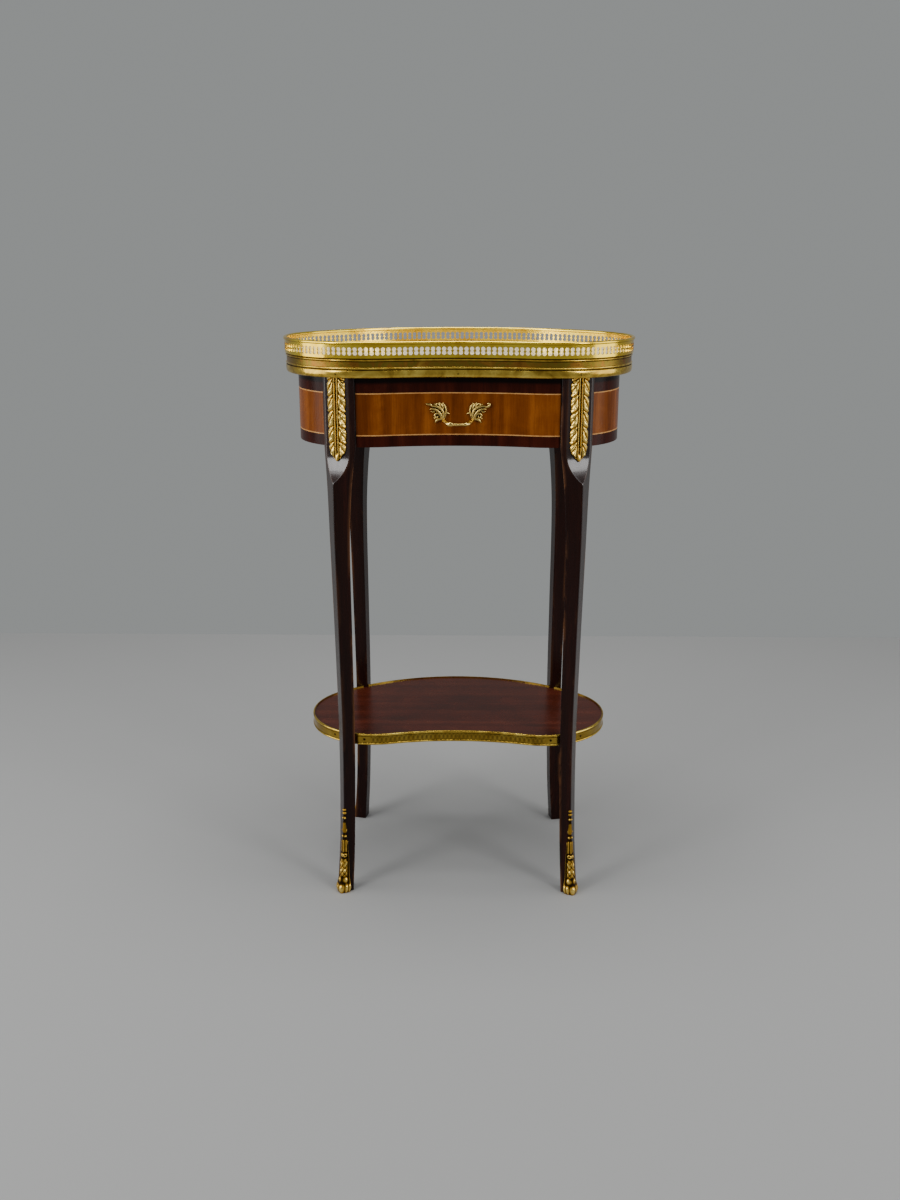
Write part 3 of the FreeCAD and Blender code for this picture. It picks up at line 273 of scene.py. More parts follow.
def bareWood(place):
    fibres = place.stretched((0.05, 1, 1)).cloud(500, 3, 0.6)
    bands = place.stretched((0.08, 1, 1)).cloud(60, 3, 0.5, 0.6)
    tone = (bands * 0.7 + fibres * 0.3).ramp(
        (0.3, (0.23, 0.125, 0.05)), (0.55, (0.36, 0.21, 0.095)), (0.8, (0.45, 0.28, 0.14)),
    )
    frontGapShade = 1 - place.axis("Y").between(-0.078, -0.064)
    sideGapShade = abs(place.axis("X")).between(0.124, 0.130)
    darkening = frontGapShade.larger(sideGapShade)  # painted shade: dark where the frame shows in the gaps beside the drawer
    return {
        "Base Color": (darkening * 0.97).mix(tone, colour(0.016, 0.005, 0.003)),
        "Roughness": 0.55 + 0.2 * fibres,
        "Normal": fibres.bump(0.25, 0.0006),
    }


def veinedMarble(place):
    drift = place.cloud(9, 4, 0.6, 2.2)
    threads = place.cloud(14, 6, 0.62, 3.0) - 0.5
    vein = 1 - abs(threads).between(0.0, 0.055)
    ground = drift.ramp((0.3, (0.88, 0.71, 0.49)), (0.5, (0.96, 0.85, 0.63)), (0.7, (0.98, 0.91, 0.74)))
    return {
        "Base Color": (vein * 0.5).mix(ground, colour(0.46, 0.33, 0.25)),
        "Roughness": 0.12 + 0.12 * drift,
        "Normal": place.cloud(300, 2, 0.5).bump(0.03, 0.0003),
    }


def dulledMetal(clean, stained):
    def varying(place):
        darkening = place.cloud(300, 4, 0.6)
        return {
            "Base Color": darkening.ramp((0.4, clean), (0.65, stained)),
            "Roughness": 0.3 + 0.3 * darkening,
            "Normal": darkening.bump(0.1, 0.0003),
        }

    return varying


metal = {"Metallic": 1.0}
satin = {"Specular IOR Level": 0.16}
matt = {"Specular IOR Level": 0.10}
waxed = {"Specular IOR Level": 0.16, "Coat Roughness": 0.14}
upright = (1, 1, 0.05)
lengthwise = (0.05, 1, 1)
# heights of the painted shade line under the brass skirt
skirtShadeHeights = (0.6725, 0.6765)
panelTones = (
    (0.35, (0.092, 0.020, 0.0014)), (0.50, (0.150, 0.036, 0.0027)), (0.65, (0.230, 0.064, 0.007)),
)
bandTones = (
    (0.30, (0.014, 0.0022, 0.0008)), (0.52, (0.030, 0.0042, 0.0014)), (0.75, (0.055, 0.0085, 0.003)),
)
shelfTones = (
    (0.30, (0.034, 0.0065, 0.0028)), (0.52, (0.060, 0.0105, 0.0045)), (0.75, (0.095, 0.020, 0.009)),
)
stringTones = (
    (0.30, (0.40, 0.17, 0.045)), (0.52, (0.52, 0.25, 0.075)), (0.75, (0.60, 0.32, 0.11)),
)
finishes = {
    "marble": makeFinish("veinedMarble", {"Coat Weight": 0.15}, veinedMarble),
    "edge_brass": makeFinish("agedShadedBrass", metal, agedShadedBrass),
    "gallery_brass": makeFinish("polishedBrass", metal, polishedBrass),
    "nail_brass": makeFinish("nailBrass", metal, dulledMetal((0.040, 0.022, 0.006), (0.012, 0.007, 0.003))),
    "pull_bronze": makeFinish(
        "pullBronze", metal,
        reliefShadedBronze((0.70, 0.50, 0.15), (0.34, 0.20, 0.042), (0.050, 0.026, 0.007)),
    ),
    "gilt_bronze": makeFinish(
        "giltBronze", metal,
        reliefShadedBronze((0.94, 0.67, 0.17), (0.50, 0.27, 0.030), (0.020, 0.010, 0.002)),
    ),
    "panel_veneer": makeFinish("ribbonPanel", matt, polishedWood(panelTones, upright, 60, 0.25, 0.25)),
    "band_veneer": makeFinish(
        "darkBanding", matt, polishedWood(bandTones, upright, 90, 0.35, 0.3, skirtShadeHeights),
    ),
    "string_veneer": makeFinish("paleString", satin, polishedWood(stringTones, upright, 160, 0.3, 0.1)),
    "leg_mahogany": makeFinish("darkLeg", waxed, legWood),
    "shelf_mahogany": makeFinish("redShelf", satin, polishedWood(shelfTones, lengthwise, 60, 0.4, 0.35)),
    "carcass_wood": makeFinish("bareWood", {}, bareWood),
    "screw_steel": makeFinish("dullSteel", metal, dulledMetal((0.22, 0.20, 0.19), (0.16, 0.09, 0.05))),
}
for part in frame["record"]["subparts"]:
    slots = cadNodes[part["node"]].data.materials
    slots.clear()
    slots.append(finishes[part["material_slot"]])
print("finishes:", len(finishes))


# mesh helpers
# a grid whose points go where place(across, up) says, and take its paint
def shapedGrid(bm, columns, rows, place, paint="relief"):
    made = bmesh.ops.create_grid(bm, x_segments=columns, y_segments=rows, size=1)
    layer = bm.verts.layers.float[paint]
    for vert in made["verts"]:
        vert.co, vert[layer] = place((vert.co.x + 1) / 2, (vert.co.y + 1) / 2)
    return made["verts"]


def newMesh(*paints):
    bm = bmesh.new()
    for paint in paints or ("relief",):
        bm.verts.layers.float.new(paint)
    return bm


def closeUp(bm, verts, gap):
    bmesh.ops.remove_doubles(bm, verts=verts, dist=gap)
    edges = [edge for edge in bm.edges if edge.is_boundary]
    if edges:
        bmesh.ops.holes_fill(bm, edges=edges, sides=0)
    bmesh.ops.recalc_face_normals(bm, faces=bm.faces)


def addPiece(name, bm, slotName, body, replaced, crease=35):
    mesh = bpy.data.meshes.new(name)
    bm.to_mesh(mesh)
    bm.free()
    mesh.shade_smooth()
    mesh.set_sharp_from_angle(angle=math.radians(crease))
    piece = bpy.data.objects.new(name, mesh)
    bpy.context.scene.collection.objects.link(piece)
    mesh.materials.append(finishes[slotName])
    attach(piece, body)
    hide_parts(*replaced)
    print("piece", name, len(mesh.polygons), "faces")


def smooth(value, low, high):
    t = min(max((value - low) / (high - low), 0.0), 1.0)
    return t * t * (3 - 2 * t)


def within(value, rise, full, fade, end):  # 1 from full to fade, 0 before rise and after end
    return smooth(value, rise, full) * (1 - smooth(value, fade, end))


def hump(value, middle, width):
    return math.exp(-(((value - middle) / width) ** 2))


def along(stations, place):  # smooth curve through (place, value, ...) rows
    last = len(stations) - 1
    here = max(i for i in range(last) if stations[i][0] <= place or i == 0)
    low, high = stations[here], stations[here + 1]
    span = high[0] - low[0]
    t = min(max((place - low[0]) / span, 0.0), 1.0)
    before, after = stations[max(here - 1, 0)], stations[min(here + 2, last)]
    values = []
    for k in range(1, len(low)):
        lowSlope = (high[k] - before[k]) / (high[0] - before[0])
        highSlope = (after[k] - low[k]) / (after[0] - low[0])
        rise = high[k] - low[k]
        bend = (lowSlope * span - rise) * (1 - t) - (highSlope * span - rise) * t
        values.append(low[k] + rise * t + t * (1 - t) * bend)
    return values


# the kidney plan, as the arcs that a profile is spun round
plan = {
    "halfWidth": 220, "endRadius": 109, "backRadius": 277, "frontRadius": 338, "endX": 111, "endY": -18,
    "apronInset": 17.3,
}
backReach = plan["backRadius"] - plan["endRadius"]
frontReach = plan["frontRadius"] + plan["endRadius"]
plan["backY"] = plan["endY"] - math.sqrt(backReach**2 - plan["endX"] ** 2)
plan["frontY"] = plan["endY"] - math.sqrt(frontReach**2 - plan["endX"] ** 2)
backTurn = math.atan2(plan["endY"] - plan["backY"], plan["endX"])
frontTurn = math.atan2(plan["endY"] - plan["frontY"], plan["endX"])
planRuns = (
    (0, plan["frontY"], frontTurn - math.pi / 2, plan["frontRadius"]),
    (plan["endX"], plan["endY"], backTurn - frontTurn + math.pi, plan["endRadius"]),
    (0, plan["backY"], math.pi - 2 * backTurn, plan["backRadius"]),
    (-plan["endX"], plan["endY"], backTurn - frontTurn + math.pi, plan["endRadius"]),
    (0, plan["frontY"], frontTurn - math.pi / 2, plan["frontRadius"]),
)


def spunRing(bm, profile, spacing):  # profile of (inset, height), closed, taken once round the plan
    start = plan["frontY"] + plan["frontRadius"]
    verts = [bm.verts.new(Vector((0, start + inset, height)) * mm) for inset, height in profile]
    edges = [bm.edges.new((a, b)) for a, b in zip(verts, verts[1:] + verts[:1])]
    geom = verts + edges
    front, end, back = spacing
    for (x, y, turn, radius), step in zip(planRuns, (front, end, back, end, front)):
        steps = max(2, round(abs(turn) * radius / step))
        centre = Vector((x, y, 0)) * mm
        spun = bmesh.ops.spin(bm, geom=geom, cent=centre, axis=(0, 0, 1), angle=turn, steps=steps)
        geom = spun["geom_last"]
    bmesh.ops.remove_doubles(bm, verts=bm.verts, dist=wideWeld)
    bmesh.ops.recalc_face_normals(bm, faces=bm.faces)


# brass rim on the gallery, a little bent and dented by use
rim = {
    "base": 721.4, "height": 3.6, "width": 4.2, "foot": 1.0, "shoulder": 0.42, "spacing": (2.5, 2.5, 2.5),
    "sway": 0.45, "swayScale": 16, "sideways": 0.6,
    "dents": 0.5, "dentScale": 75, "dentShift": (3, 1, 7), "dentFrom": 0.25,
}


def buildRim():
    bm = newMesh()
    half, top = rim["width"] / 2, rim["base"] + rim["height"]
    low = rim["base"] + rim["height"] * rim["shoulder"]
    profile = [(half + rim["foot"], rim["base"]), (half - rim["foot"], rim["base"])]
    for turn in range(-30, 211, 20):
        angle = math.radians(turn)
        profile.append((half - half * math.cos(angle), low + (top - low) * math.sin(angle)))
    spunRing(bm, profile, rim["spacing"])
    for vert in bm.verts:
        sway = noise.noise(vert.co * rim["swayScale"]) * rim["sway"] * mm
        dent = noise.noise(vert.co * rim["dentScale"] + Vector(rim["dentShift"]))
        vert.co.z -= abs(sway) + max(dent - rim["dentFrom"], 0) * rim["dents"] * mm
        vert.co.y += sway * rim["sideways"]
    addPiece("galleryRim", bm, "gallery_brass", "table", ["gallery_bead"])


# brass edge of the top: from the rounded skirt up to the bead under the gallery
edge = {
    "spacing": (3.0, 3.0, 3.0), "sway": 0.12, "swayScale": 14,
    "profile": (
        (5.6, 682.0), (4.7, 682.0), (3.7, 682.5), (3.0, 683.5), (2.6, 685.0), (2.4, 687.0), (2.4, 689.6),
        (2.6, 690.6), (3.1, 691.2), (4.3, 691.4), (4.3, 692.1), (3.2, 692.3), (2.5, 692.8), (2.25, 693.5),
        (2.5, 694.2), (3.1, 694.6), (3.5, 694.8), (3.5, 701.0), (4.1, 701.3), (4.1, 701.8), (3.0, 702.0),
        (2.4, 702.4), (2.2, 702.9), (2.4, 703.4), (3.0, 703.8), (3.4, 704.2), (3.4, 704.9), (2.8, 705.4),
        (2.8, 705.5), (5.6, 705.5),
    ),
}


def buildEdge():
    bm = newMesh()
    spunRing(bm, edge["profile"], edge["spacing"])
    for vert in bm.verts:
        vert.co.z += noise.noise(vert.co * edge["swayScale"]) * edge["sway"] * mm
    addPiece("topEdge", bm, "edge_brass", "table", ["edge_moulding"], 50)


# legs: square with the corner outwards, its edge just blunted, broad facet at the top
leg = {
    "stations": (
        (0, 18.2, 12.02), (75, 8.5, 11.31), (211.25, 2.5, 11.74), (345, 4.3, 12.59),
        (480, 7, 14.14), (545, 4.5, 16.83), (598, 0, 21.5),
    ),
    "chamfer": 0.8, "facet": 5.5, "facetFoot": 592, "scoop": 50, "frontAngle": 21, "backSetback": 82.4,
    # heights of the rings: even steps below the knee, fine ones at it, a few above
    "step": 9, "knee": 540, "kneeStep": 1.5, "kneeRings": 43, "above": (612, 640, 682),
    # rows of distance from a corner, most share of its side, wear
    "ease": ((0.7, 0.3, 0.8), (1.4, 0.4, 0.45), (4.2, 0.47, 0.0)),
    # wear of the back corner, a side corner, the facet's two and the other side corner
    "worn": (0.3, 1.0, 0.2, 0.2, 1.0),
    "polishFrom": 554, "polishDepth": 0.3, "sidePolish": 0.7,
}
legPlaces = {}
for side, sign in (("left", -1), ("right", 1)):
    reach = plan["endRadius"] - plan["apronInset"]
    angle = math.radians(leg["frontAngle"])
    across = sign * (plan["endX"] + reach * math.sin(angle))
    spot = Vector((across, plan["endY"] - reach * math.cos(angle), 0))
    facing = Matrix.Rotation(sign * angle - math.pi / 2, 4, "Z")
    legPlaces["front_" + side] = Matrix.Translation(spot * mm) @ facing
    reach = plan["backRadius"] - plan["apronInset"]
    angle = math.asin((plan["halfWidth"] - leg["backSetback"]) / reach)
    spot = Vector((sign * reach * math.sin(angle), plan["backY"] + reach * math.cos(angle), 0))
    facing = Matrix.Rotation(math.pi / 2 - sign * angle, 4, "Z")
    legPlaces["back_" + side] = Matrix.Translation(spot * mm) @ facing


def legAt(z):  # middle, half diagonal, outer face and its half width at a height
    middle, half = along(leg["stations"], min(z, leg["stations"][-1][0]))
    outer = middle + half - leg["chamfer"]
    drop = leg["facetFoot"] - z
    if drop <= 0:
        outer = min(outer, leg["facet"])
    elif drop < leg["scoop"]:
        outer = min(outer, leg["facet"] + leg["scoop"] - math.sqrt(leg["scoop"] ** 2 - drop**2))
    return middle, half, outer, middle + half - outer


def easedRing(corners):  # rounded corners with points either side that keep the faces flat
    ring = []
    for i, corner in enumerate(corners):
        near = []
        for other in (corners[i - 1], corners[(i + 1) % len(corners)]):
            run = other - corner
            points = []
            for far, most, wear in leg["ease"]:
                points.append((corner + run * min(far / run.length, most), wear * leg["worn"][i]))
            near.append(points)
        bend = (near[0][0][0] + near[1][0][0]) * 0.25 + corner * 0.5
        ring += near[0][::-1] + [(bend, leg["worn"][i])] + near[1]
    return ring


def buildLeg(name, turn):
    bm = newMesh("wear", "polish")
    heights = list(range(0, leg["knee"], leg["step"]))
    heights += [leg["knee"] + leg["kneeStep"] * i for i in range(leg["kneeRings"])]
    heights += leg["above"]
    rings = []
    for z in heights:
        middle, half, outer, width = legAt(z)
        corners = ((middle - half, 0), (middle, -half), (outer, -width), (outer, width), (middle, half))
        rings.append(easedRing([Vector((x, y, z)) for x, y in corners]))
    columns = len(rings[0])

    def place(across, up):
        point, worn = rings[round(up * (len(heights) - 1))][round(across * columns) % columns]
        return turn @ (point * mm), worn

    closeUp(bm, shapedGrid(bm, columns, len(heights) - 1, place, "wear"), fineWeld)
    back, polish = turn.inverted(), bm.verts.layers.float["polish"]
    outside = 1 if name.endswith("right") else -1
    for vert in bm.verts:  # the facet and the side away from the drawer are rubbed bright
        x, y, z = back @ vert.co / mm
        middle, _, outer, _ = legAt(z)
        if z > leg["polishFrom"] and x > outer - leg["polishDepth"]:
            vert[polish] = 1.0
        elif x > middle and y * outside > 0:
            vert[polish] = leg["sidePolish"]
    addPiece(name + "Leg", bm, "leg_mahogany", "table", [name + "_leg"], 50)


# brass band round the shelf: a bead top and bottom, the hollow front rippled where it was bent
band = {
    "inset": 20.3, "base": 204.5, "spacing": (1.1, 1.2, 4.0), "front": 118, "fadeRun": 8, "legGap": 0.15,
    "ripple": 0.9, "pitch": 5.6, "waver": 1.5, "waverLength": 21,
    "rippled": (3.0, 11.0), "hollow": (2.4, 9.4),  # from and to, then foot and height, above the base
    "profile": (
        (2.2, 0.0), (0.6, 0.0), (0.15, 0.3), (0.0, 1.1), (0.15, 1.8), (0.55, 2.2), (1.1, 2.4), (1.1, 2.7),
        (0.7, 3.0), (0.7, 5.0), (0.7, 7.1), (0.7, 9.2), (0.7, 11.2), (1.15, 11.4), (1.15, 11.8),
        (0.55, 12.1), (0.15, 12.6), (0.0, 13.4), (0.15, 14.2), (0.6, 14.8), (1.2, 15.0), (2.2, 15.0),
    ),
}


def buildBand():
    bm = newMesh()
    profile = [(band["inset"] + inset, band["base"] + lift) for inset, lift in band["profile"]]
    spunRing(bm, profile, band["spacing"])
    hollows = bm.verts.layers.float["relief"]
    low, high = band["rippled"]
    foot, height = band["hollow"]
    for vert in bm.verts:
        x, y, z = vert.co / mm
        lift = z - band["base"]
        if y < 0 and abs(x) < band["front"] and low < lift < high:
            fade = math.sin(math.pi * (lift - foot) / height)
            fade *= 1 - smooth(abs(x), band["front"] - band["fadeRun"], band["front"])
            waver = band["waver"] * math.sin(x / band["waverLength"])
            crest = 0.5 + 0.5 * math.cos(2 * math.pi * x / band["pitch"] + waver)
            vert.co.y -= band["ripple"] * fade * crest * mm
            vert[hollows] = fade * (1 - crest)
    middle, half = along(leg["stations"], band["base"])
    reach = half + band["legGap"]
    for turn in legPlaces.values():  # gaps for the legs
        back = turn.inverted()
        near = [f for f in bm.faces if (back @ f.calc_center_median()).xy.length < 2 * half * mm]
        for across in (-1, 1):
            for slope in (-1, 1):
                edges = dict.fromkeys(e for f in near for e in f.edges)
                verts = dict.fromkeys(v for f in near for v in f.verts)
                geom = [*near, *edges, *verts]
                spot = turn @ (Vector((middle, across * reach, 0)) * mm)
                normal = turn.to_3x3() @ Vector((slope, 1, 0))
                cut = bmesh.ops.bisect_plane(bm, geom=geom, dist=1e-7, plane_co=spot, plane_no=normal)
                near = [g for g in cut["geom"] if isinstance(g, bmesh.types.BMFace)]
        inside = []
        for face in near:
            local = back @ face.calc_center_median() / mm
            if abs(local.x - middle) + abs(local.y) < reach:
                inside.append(face)
        bmesh.ops.delete(bm, geom=inside, context="FACES")
    closeUp(bm, bm.verts, fineWeld)
    replaced = ["shelf_" + bay + "_band" for bay in ("front", "left", "right", "back")]
    addPiece("shelfBand", bm, "edge_brass", "table", replaced, 45)


# gilt falls: pairs of two-lobed leaves down a double rib, ending in a rounded tip
fall = {
    "top": 681.6, "length": 100.4, "half": 12.0, "leaves": 5.3, "slant": 0.24, "point": 26,
    "core": 4.8, "coreShare": 0.45, "leafFoot": 3.5, "split": (0.12, 0.60), "veins": 0.26,
    "notch": (0.15, 0.07), "splitNotch": (0.09, 0.06),  # depth and width of the notches in the edge
    "skin": 0.8, "leafRise": 2.9, "ribRise": 1.9, "budRise": 1.6, "crown": 0.7,
    "columns": 80, "rows": 260, "lift": 0.05,
}


def buildFall(name, turn):
    bm = newMesh()
    pitch = fall["length"] / fall["leaves"]
    splitIn, splitRun = fall["split"]
    notchDepth, notchWidth = fall["notch"]
    splitDepth, splitWidth = fall["splitNotch"]
    coreShare = fall["coreShare"]

    def place(across, share):
        down = share * fall["length"]
        side = 2 * across - 1
        far = abs(side)
        edgePhase = (down / pitch - fall["slant"]) % 1
        notch = notchDepth * hump(min(edgePhase, 1 - edgePhase), 0, notchWidth)
        notch += splitDepth * hump(edgePhase, splitIn + splitRun, splitWidth)
        toTip = fall["length"] - down
        reach = fall["half"] * (1 - max(1 - toTip / fall["point"], 0.0) ** 3) * (1 - notch)
        core = min(fall["core"], 0.6 * reach)
        if far < coreShare:
            away = core * far / coreShare
        else:
            away = core + (reach - core) * (far - coreShare) / (1 - coreShare)
        y = math.copysign(away, side)
        t = min(max((away - fall["leafFoot"]) / (fall["half"] - fall["leafFoot"]), 0.0), 1.0)
        turns = down / pitch - fall["slant"] * t
        phase = turns % 1
        leafNumber = math.floor(turns) + (0.5 if side > 0 else 0)
        uneven = 1 + 0.3 * noise.noise(Vector((leafNumber * 3.1, phase * 4, t * 4)))
        split = splitIn + splitRun * t
        lobe = phase / split if phase < split else (phase - split) / (1 - split)
        body = max(math.sin(math.pi * lobe), 0.0) ** 0.5
        veins = 1 - fall["veins"] * abs(math.sin(3 * math.pi * lobe)) * smooth(t, 0.15, 0.5)
        swell = 0.42 + 0.58 * math.sin(math.pi * min(0.08 + 0.78 * t, 1.0))
        leafy = body * veins * swell * uneven
        ribs = (hump(away, 1.9, 0.85) - 0.5 * hump(y, 0, 0.45)) * smooth(toTip, 5, 14)
        bud = hump(away, 0, 2.2) * hump(toTip, 5, 4.5)
        inLeaf = smooth(away, 3.1, 4.1)
        groove = hump(away, 3.4, 0.5)
        rise = fall["skin"] + fall["leafRise"] * leafy * inLeaf
        rise += (fall["ribRise"] * ribs + 0.5) * (1 - inLeaf) - 0.5 * groove + fall["budRise"] * bud
        rise *= min(1.0, 0.35 + 4.5 * (1 - far))
        rise += fall["crown"] * (1 - (y / fall["half"]) ** 2)
        # painted highlight and shade: raised leaves and ribs are painted bright, the groove beside the ribs
        # and the outer edges dark
        shine = 1.15 * leafy * inLeaf + (0.15 + 0.8 * ribs) * (1 - inLeaf)
        shine = shine * (1 - 0.75 * groove) + 0.6 * bud
        shine *= 0.4 + 0.6 * smooth(1 - far, 0.0, 0.05)
        z = fall["top"] - down
        return turn @ (Vector((legAt(z)[2] + rise, y, z)) * mm), shine

    verts = shapedGrid(bm, fall["columns"], fall["rows"], place)
    bmesh.ops.remove_doubles(bm, verts=verts, dist=weld)
    rimEdges = [e for e in bm.edges if e.is_boundary]
    skirt = bmesh.ops.extrude_edge_only(bm, edges=rimEdges)["geom"]
    back = turn.inverted()
    for vert in [g for g in skirt if isinstance(g, bmesh.types.BMVert)]:
        local = back @ vert.co
        local.x = (legAt(local.z / mm)[2] + fall["lift"]) * mm
        vert.co = turn @ local
        vert[bm.verts.layers.float["relief"]] = 0.0
    closeUp(bm, bm.verts, weld)
    addPiece(name + "Fall", bm, "gilt_bronze", "table", [name + "_chute"], 75)


# gilt shoes: lobed toe, lattice, reeded stem, beads and tongue up the outer corner
shoe = {
    "height": 119, "columns": 48, "rows": 200, "wall": 0.9,
    # height, how far it reaches round the corner, thickness
    "stations": (
        (0, 10.6, 3.6), (6, 11.8, 5.2), (14, 10.4, 3.6), (22, 9.0, 2.4), (40, 7.6, 1.7), (52, 6.4, 1.6),
        (60, 5.3, 1.4), (68, 4.6, 1.4), (72.5, 4.3, 1.4), (75.8, 2.6, 0.8), (79, 3.6, 1.6), (82, 2.5, 0.9),
        (87, 3.1, 1.0), (92, 2.4, 1.0), (98, 1.7, 0.9), (101.5, 1.2, 0.6), (105, 2.3, 1.5),
        (108.5, 1.1, 0.6), (111.8, 2.0, 1.3), (114.2, 1.3, 0.8), (116.6, 1.8, 1.2), (119, 0.4, 0.4),
    ),
}


def buildShoe(name, turn):
    bm = newMesh()

    def place(across, up):
        z = up * shoe["height"]
        side = 2 * across - 1
        far = abs(side)
        wrap, depth = along(shoe["stations"], z)
        outer, width = legAt(z)[2:]
        q = side * (width + wrap)
        beyond = max(abs(q) - width, 0.0) / math.sqrt(2)
        lean = math.copysign(smooth(abs(q), 0.0, width + 2.2), q) * math.pi / 4
        toe = (1 - smooth(z, 9, 15)) * (0.4 + 0.6 * math.sin(math.pi * min(z / 12, 1)))
        toeLobes = abs(math.cos(2.5 * math.pi * side)) ** 0.7 * toe
        twins = hump(z, 18, 3.0) * hump(far, 0.36, 0.22)
        window = within(z, 21, 25, 45, 49) * (1 - smooth(far, 0.55, 0.7))
        weave = math.sin(0.42 * z + 0.75 * q) * math.sin(0.42 * z - 0.75 * q)
        lattice = abs(weave) ** 0.5 * window
        petals = (hump(z, 31, 2.0) * hump(far, 0.2, 0.13) + hump(z, 40, 2.2) * hump(far, 0.33, 0.14)) * 0.9
        loop = math.hypot(z - 52, 3.2 * (far * (width + wrap) / 3.2 - 0.62))
        volute = hump(loop, 1.7, 0.7)
        stem = within(z, 55, 58, 72, 74.5) * (1 - smooth(far, 0.72, 0.8))
        reeds = abs(math.cos(2.1 * math.pi * side)) * stem
        border = hump(far, 0.9, 0.055) * within(z, 8, 14, 66, 70)
        border += 1.2 * hump(far, 0.86, 0.13) * hump(z, 70, 2.2)
        panel = within(far, 0.62, 0.7, 0.8, 0.86) * within(z, 16, 22, 62, 66)
        beads = hump(z, 79, 1.6) * hump(far, 0.42, 0.3) + hump(z, 105, 1.5) * hump(far, 0.4, 0.32)
        knobs = hump(z, 87, 1.5) * hump(far, 0.86, 0.14)
        tongue = within(z, 82, 85, 97, 100.5) * (1 - far**4)
        finial = hump(z, 111.8, 1.6) + hump(z, 116.6, 1.5)
        detail = (
            1.4 * toeLobes + 1.6 * twins + 0.9 * lattice + petals + 1.1 * volute + 0.8 * reeds
            + 0.9 * border + 1.1 * beads + 1.2 * knobs + 0.5 * tongue + 0.7 * finial
        )
        rounded = math.sqrt(max(1 - far**7, 0.0))
        rise = (depth * (0.75 - 0.35 * panel) + detail) * rounded - 0.2 * (1 - rounded)
        # painted highlight and shade: raised detail is painted bright, the sunk panel and the rounded-off
        # edges dark
        shine = min(0.30 + 0.62 * detail, 1.0) * (1 - 0.6 * panel) * smooth(rounded, 0.1, 0.5)
        x = outer - beyond + rise * math.cos(lean)
        y = math.copysign(min(abs(q), width) + beyond, q) + rise * math.sin(lean)
        return turn @ (Vector((x, y, z)) * mm), shine

    shapedGrid(bm, shoe["columns"], shoe["rows"], place)
    bmesh.ops.recalc_face_normals(bm, faces=bm.faces)
    outward = turn.to_3x3() @ Vector((1, 0, 0))
    if sum(face.normal.dot(outward) for face in bm.faces) < 0:
        bmesh.ops.reverse_faces(bm, faces=bm.faces)
    bmesh.ops.solidify(bm, geom=bm.faces[:], thickness=shoe["wall"] * mm)
    bmesh.ops.recalc_face_normals(bm, faces=bm.faces)
    addPiece(name + "Shoe", bm, "gilt_bronze", "table", [name + "_sabot"], 75)


# pull: a winged leaf left and right on the drawer front, joined by a bow
pull = {
    "sides": 10, "steps": 6,
    # each line is (x, z) points from the bow's root outwards, widths along it, then its lift off the wood
    "ribs": (
        (((17.4, 631.2), (15.6, 634.8), (14.6, 639.6), (15.1, 644.2), (16.6, 647.6), (18.4, 649.6)),
         (1.2, 1.3, 1.3, 1.3, 1.2, 0.9), 2.0),
        (((18.0, 631.4), (17.5, 637.0), (19.2, 641.8), (23.0, 645.0), (27.4, 646.6), (31.4, 646.8)),
         (1.0, 1.3, 1.5, 1.5, 1.4, 1.2), 2.9),
        (((19.2, 631.4), (20.6, 636.2), (22.9, 639.6), (26.6, 642.2), (30.6, 643.4), (34.6, 642.8)),
         (0.9, 1.2, 1.4, 1.4, 1.2, 0.35), 2.4),
        (((18.3, 640.4), (18.4, 645.0), (20.2, 648.4), (22.0, 650.2)), (0.8, 1.2, 1.4, 0.8), 2.2),
        (((21.4, 644.0), (22.2, 647.2), (24.2, 649.5), (26.3, 649.2)), (0.8, 1.2, 1.3, 0.7), 2.2),
        (((26.0, 646.4), (27.4, 648.6), (29.8, 649.2)), (0.8, 1.1, 0.45), 1.9),
        (((28.0, 640.8), (30.6, 639.7), (32.8, 640.4)), (0.9, 1.1, 0.45), 1.4),
        (((20.8, 633.2), (22.4, 636.6), (25.6, 638.0), (28.2, 636.0), (27.6, 633.2), (25.2, 632.8),
          (24.4, 634.8)),
         (0.9, 1.1, 1.2, 1.2, 1.1, 0.9, 0.7), 1.9),
        (((19.0, 630.8), (23.0, 630.8), (26.2, 629.2), (28.0, 626.4)), (1.2, 1.6, 1.5, 0.35), 1.4),
        (((15.2, 638.6), (12.8, 638.2), (10.6, 637.0)), (1.0, 0.8, 0.3), 1.2),
    ),
    "ground": (
        (((18.6, 632.0), (17.6, 638.0), (20.6, 642.8), (26.0, 644.6), (31.0, 645.6)),
         (2.2, 3.4, 4.0, 3.0, 1.2), 0.5),
        (((20.4, 632.6), (23.0, 635.0), (26.0, 635.6)), (2.0, 3.2, 2.0), 0.5),
    ),
    "beads": (
        (18.6, 649.8, 1.3), (22.2, 650.2, 1.2), (26.6, 649.0, 1.1), (28.6, 631.8, 1.1), (14.1, 642.0, 1.0),
    ),
    "beadLift": 1.6, "boss": (22, 638.4), "bossRadii": (3.0, 2.0, 3.0),
    "rightTip": (((31.2, 646.8), (34.2, 646.0), (37.0, 646.8), (38.3, 648.8), (36.8, 650.3), (35.2, 649.4)),
                 (1.2, 1.5, 1.6, 1.4, 1.1, 0.7), 1.9),
    "leftTip": (((31.2, 646.8), (33.6, 648.6), (36.2, 648.9), (39.2, 650.2)), (1.2, 1.6, 1.3, 0.4), 1.7),
    # half of the bow: x, distance from the wood, z, then widths
    "bow": (
        (17.6, 2.0, 631.2), (16.8, 7.2, 628.8), (13.0, 12.4, 626.9), (9.2, 14.3, 626.3),
        (5.6, 14.8, 626.1), (0, 15, 626),
    ),
    "bowWidths": (1.5, 1.8, 2.3, 2.7, 1.8, 1.5), "bowSteps": 8, "bowTwist": 0.12,
    "rings": (-6.2, -4.6, 0, 4.6, 6.2), "ringOut": 14.9, "ringHeight": 626.05, "ringRadii": (0.6, 2.2, 2.2),
}


